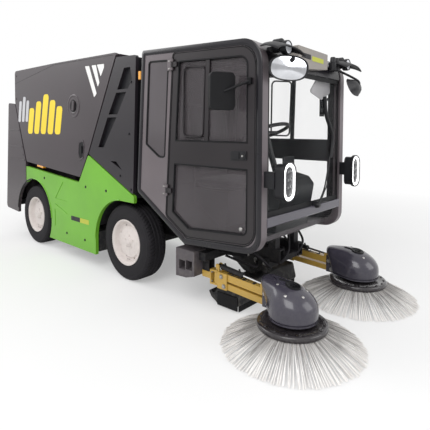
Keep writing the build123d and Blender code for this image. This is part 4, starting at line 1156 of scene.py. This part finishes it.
for side, sign in sides:
    head, armY = f"brush_head_{side}", sign * gearSet["armY"]
    surface = coverSurface(sign)
    made = Heap().rings(surface).piece(f"brushCover.{side}", head, "cover_grey", smooth=50)
    openMouth(made.data)
    addWall(made, "coverWall", coverSet["wall"])
    # a recess and its slot lie on the slope of the hood; both are raised black sealing rubber, and their
    # black is painted shade for the hollow of the recess and of the slot
    x, y = coverSet["recessAt"]
    top, tilt = onHood(surface, x, sign * y)
    detail = Heap().lathe(coverSet["recess"], top, tilt)
    for angle in coverSet["recessBolts"]:
        way = np.array([math.cos(angle), math.sin(angle), 0])
        detail.knob(top + way * coverSet["recessRing"] + [0, 0, 0.001], tilt, 6, 6)
    near, far = (onHood(surface, x, sign * y)[0] for x, y in coverSet["slot"])
    detail.tube([near, (near + far) / 2 + [0, 0, 0.001], far], 0.008)
    detail.piece(f"coverRecessShade.{side}", head, "black_plastic", "sealRubber")
    rivets = Heap()
    for x, y in coverSet["rivets"]:
        rivets.lathe(coverSet["rivet"], *onHood(surface, x, sign * y), 16)
    rivets.piece(f"coverRivets.{side}", head, "chromed_rod", "boltSteel")

    # pins: each joint of the bars shows a domed nut on a washer at both ends
    for key, (x, z) in gearSet["bars"].items():
        for end, body in ((0, f"swing_bracket_{side}"), (1, head)):
            px, pz = x + gearSet["reach"][0] * end, z + gearSet["reach"][1] * end
            nuts = Heap()
            for way in (-1, 1):
                nuts.lathe(gearSet["nut"], place(px, armY + way * gearSet["nutAt"], pz), (0, way, 0), 6)
            nuts.piece(f"barNuts.{key}.{end}.{side}", body, "chromed_rod", "boltSteel")
    # hard pipes clipped along the upper bar, a gland and clamps on the ram
    pipes, clips = Heap(), Heap()
    for y in (-gearSet["pipeY"], gearSet["pipeY"]):
        path = smoothLine([place(x, armY + y, z) for x, z in gearSet["pipes"]], 20)
        pipes.tube(path, gearSet["pipeRadius"], 8)
    pipes.piece(f"barPipes.{side}", f"upper_bar_{side}", "black_steel")
    x0, z0 = gearSet["bars"]["upper"]
    for x in gearSet["clips"]:
        top = z0 + (x - x0) * gearSet["reach"][1] / gearSet["reach"][0] + gearSet["clipTop"]
        clips.brick((x - 7, armY - 18, top - 2), (x + 7, armY + 18, top + 5))
    clips.piece(f"barClips.{side}", f"upper_bar_{side}", "black_plastic", bevel=0.001)
    base, ramEye = (place(x, armY, z) for x, z in (gearSet["ramBase"], gearSet["ramEye"]))
    along = (ramEye - base) / np.linalg.norm(ramEye - base)
    gland, r = Heap(), gearSet["glandRadius"]
    for at in gearSet["glands"]:
        gland.lathe([(r - 3, -5), (r, -4), (r, 5), (r - 2, 8), (12, 8)], base + along * at, along, 24)
    for at in (0.055, 0.185):
        gland.knob(base + along * at + [0, 0, 0.017], upwards, 7, 16)
    gland.piece(f"ramGland.{side}", f"lift_barrel_{side}", "black_steel")
    # carrier: bolts and bump stop
    carrier = Heap()
    for z in gearSet["carrierZ"]:
        for dy in (-18, 18):
            carrier.knob(place(gearSet["carrierX"], armY + sign * dy, z), forwards, 6, 6)
    carrier.lathe(gearSet["stop"], place(985, armY, 310), upwards, 6)
    carrier.piece(f"carrierBolts.{side}", "root", "chromed_rod", "boltSteel")
print("brush gear finished")


# ---- underside between the arms: valve block and hoses
underSet = {
    "blocks": [((1020, -170, 300), (1240, 60, 372)), ((1060, 70, 316), (1210, 160, 400))],
    "valves": (1050, 1110, 1170), "valve": [(0, 60), (17, 60), (21, 54), (21, 0), (0, 0)],
    "hoseRadius": 0.009, "hoseEnd": [(0, 0), (14, 0), (14, 10), (12, 12), (11, 34), (0, 34)],
    "hoses": [
        [(1060, -150, 360), (1010, -250, 372), (960, -330, 392), (900, -400, 430)],
        [(1120, -168, 345), (1180, -240, 318), (1130, -320, 352), (1010, -390, 400)],
        [(1200, -168, 330), (1290, -220, 330), (1260, -300, 410), (1180, -330, 470)],
        [(1230, -120, 350), (1330, -140, 368), (1340, -60, 430), (1290, 20, 520)],
        [(1230, 20, 350), (1320, 80, 372), (1310, 200, 440), (1240, 260, 500)],
        [(1180, 150, 360), (1200, 240, 340), (1120, 330, 360), (1000, 400, 400)],
        [(1060, 150, 350), (1010, 260, 372), (960, 340, 392), (900, 400, 430)],
    ],
}
under = Heap()
for low, high in underSet["blocks"]:
    under.brick(low, high)
for x in underSet["valves"]:
    under.lathe(underSet["valve"], place(x, -110, 300), (0, -0.25, -1), 20)
under.piece("valveBlock", "root", "black_steel", bevel=0.003)
hoses, hoseEnds = Heap(), Heap()
for line in underSet["hoses"]:
    route = [place(*point) for point in line]
    hoses.tube(smoothLine(route, 26), underSet["hoseRadius"])
    along = (route[1] - route[0]) / np.linalg.norm(route[1] - route[0])
    hoseEnds.lathe(underSet["hoseEnd"], route[0] - along * 0.004, along, 12)
hoses.piece("frontHoses", "root", "tyre_rubber")
hoseEnds.piece("hoseEnds", "root", "chromed_rod", "boltSteel")
print("underside finished")


# ---- suction nozzle: a rubber sheet at each side, a row of rubber fingers ahead
nozzleSet = {"sheetY": (-384, 384), "fingers": np.linspace(-370, 370, 38)}
nozzle = Heap()
for y in nozzleSet["sheetY"]:
    nozzle.brick((930, y - 4, 12), (1120, y + 4, 110))
for y in nozzleSet["fingers"]:
    nozzle.brick((1126, y - 8.5, 10), (1134, y + 8.5, 118))
nozzle.piece("nozzleSkirt", "root", "black_plastic", "sealRubber")


# ---- seats, dashboard and levers
seatSet = {
    "cushion": {"centre": (730, 0, 880), "size": (418, 478, 84), "tilt": 0},
    "back": {"centre": (495, 0, 1240), "size": (598, 458, 80), "tilt": 82},
    "channels": (-70, 70), "valley": 0.007, "crown": 0.16, "pull": 0.10, "rows": 28, "fill": 0.7,
    "piping": [(524, -236), (936, -236), (936, 236), (524, 236)],
}
dashSet = {
    "case": ((1200, 60, 1000), (1215, 220, 1110)), "screen": ((1197.5, 70, 1010), (1200.5, 210, 1100)),
    "levers": ((-150, 1180), (-100, 1190)), "leverZ": 1000,
    "knob": [(0, 18), (12, 14), (15, 0), (11, -14), (0, -18)],
}


def padSurface(size):
    # a closed pad: a superellipsoid whose faces are crowned and whose sides pull in between corners
    rows, pull = seatSet["rows"], seatSet["pull"]
    u, v = np.meshgrid(np.linspace(-np.pi / 2, np.pi / 2, rows), np.arange(rows * 2) * np.pi / rows,
                       indexing="ij")
    x = power(np.cos(u), 0.35) * power(np.cos(v), 0.28)
    y = power(np.cos(u), 0.35) * power(np.sin(v), 0.28)
    z = power(np.sin(u), 0.55) * (1 + seatSet["crown"] * (1 - x**2) * (1 - y**2))
    puff = 1 - pull * (np.abs(x * y) < 0.5) * (1 - np.abs(x * y) * 2) * 0.3
    return np.stack([x * size[0] * puff, y * size[1] * puff, z * size[2]], 2) / 2 * mm


def seatPad(name, spec):
    surface = padSurface(spec["size"])
    # sewn channels: narrow valleys across both faces
    for channel in seatSet["channels"]:
        dip = np.exp(-((surface[..., 1] - channel * mm) / 0.006) ** 2) * seatSet["valley"]
        onFace = np.abs(surface[..., 2]) > spec["size"][2] * mm * 0.22
        surface[..., 2] -= np.sign(surface[..., 2]) * dip * onFace
    # the pad lies flat; its tilt stands it up
    tilt = math.radians(spec["tilt"])
    x, z = surface[..., 0].copy(), surface[..., 2].copy()
    surface[..., 0] = x * math.cos(tilt) + z * math.sin(tilt)
    surface[..., 2] = -x * math.sin(tilt) + z * math.cos(tilt)
    made = Heap().rings(surface + place(*spec["centre"])).piece(name, "root", "seat_fabric", smooth=80)
    soft = made.modifiers.new("softPad", "SUBSURF")
    soft.levels = soft.render_levels = 1
    return made


cushion = seatPad("seatCushion", seatSet["cushion"])
seatPad("seatBack", seatSet["back"])
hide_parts("seat_pads")
edge = [place(x, y, 880) for x, y in roundedLoop(seatSet["piping"], 60, 8)]
piping = Heap().grid(swept(edge + edge[:1], 0.005, 8), closeV=True)
piping.piece("seatPiping", "root", "seat_fabric")

Heap().brick(*dashSet["case"]).piece("dashScreenCase", "root", "black_plastic", bevel=0.004)
Heap().brick(*dashSet["screen"]).piece("dashScreen", "root", "lamp_lens", "darkLens")
levers = Heap()
for y, x in dashSet["levers"]:
    z = dashSet["leverZ"]
    stick = [place(x, y, z - 40), place(x - 20, y - 5, z + 40), place(x - 34, y - 8, z + 90)]
    levers.tube(smoothLine(stick, 12), 0.006, 8)
    levers.lathe(dashSet["knob"], place(x - 36, y - 8, z + 100), upwards, 20)
levers.piece("dashLevers", "root", "black_plastic")
print("interior finished")
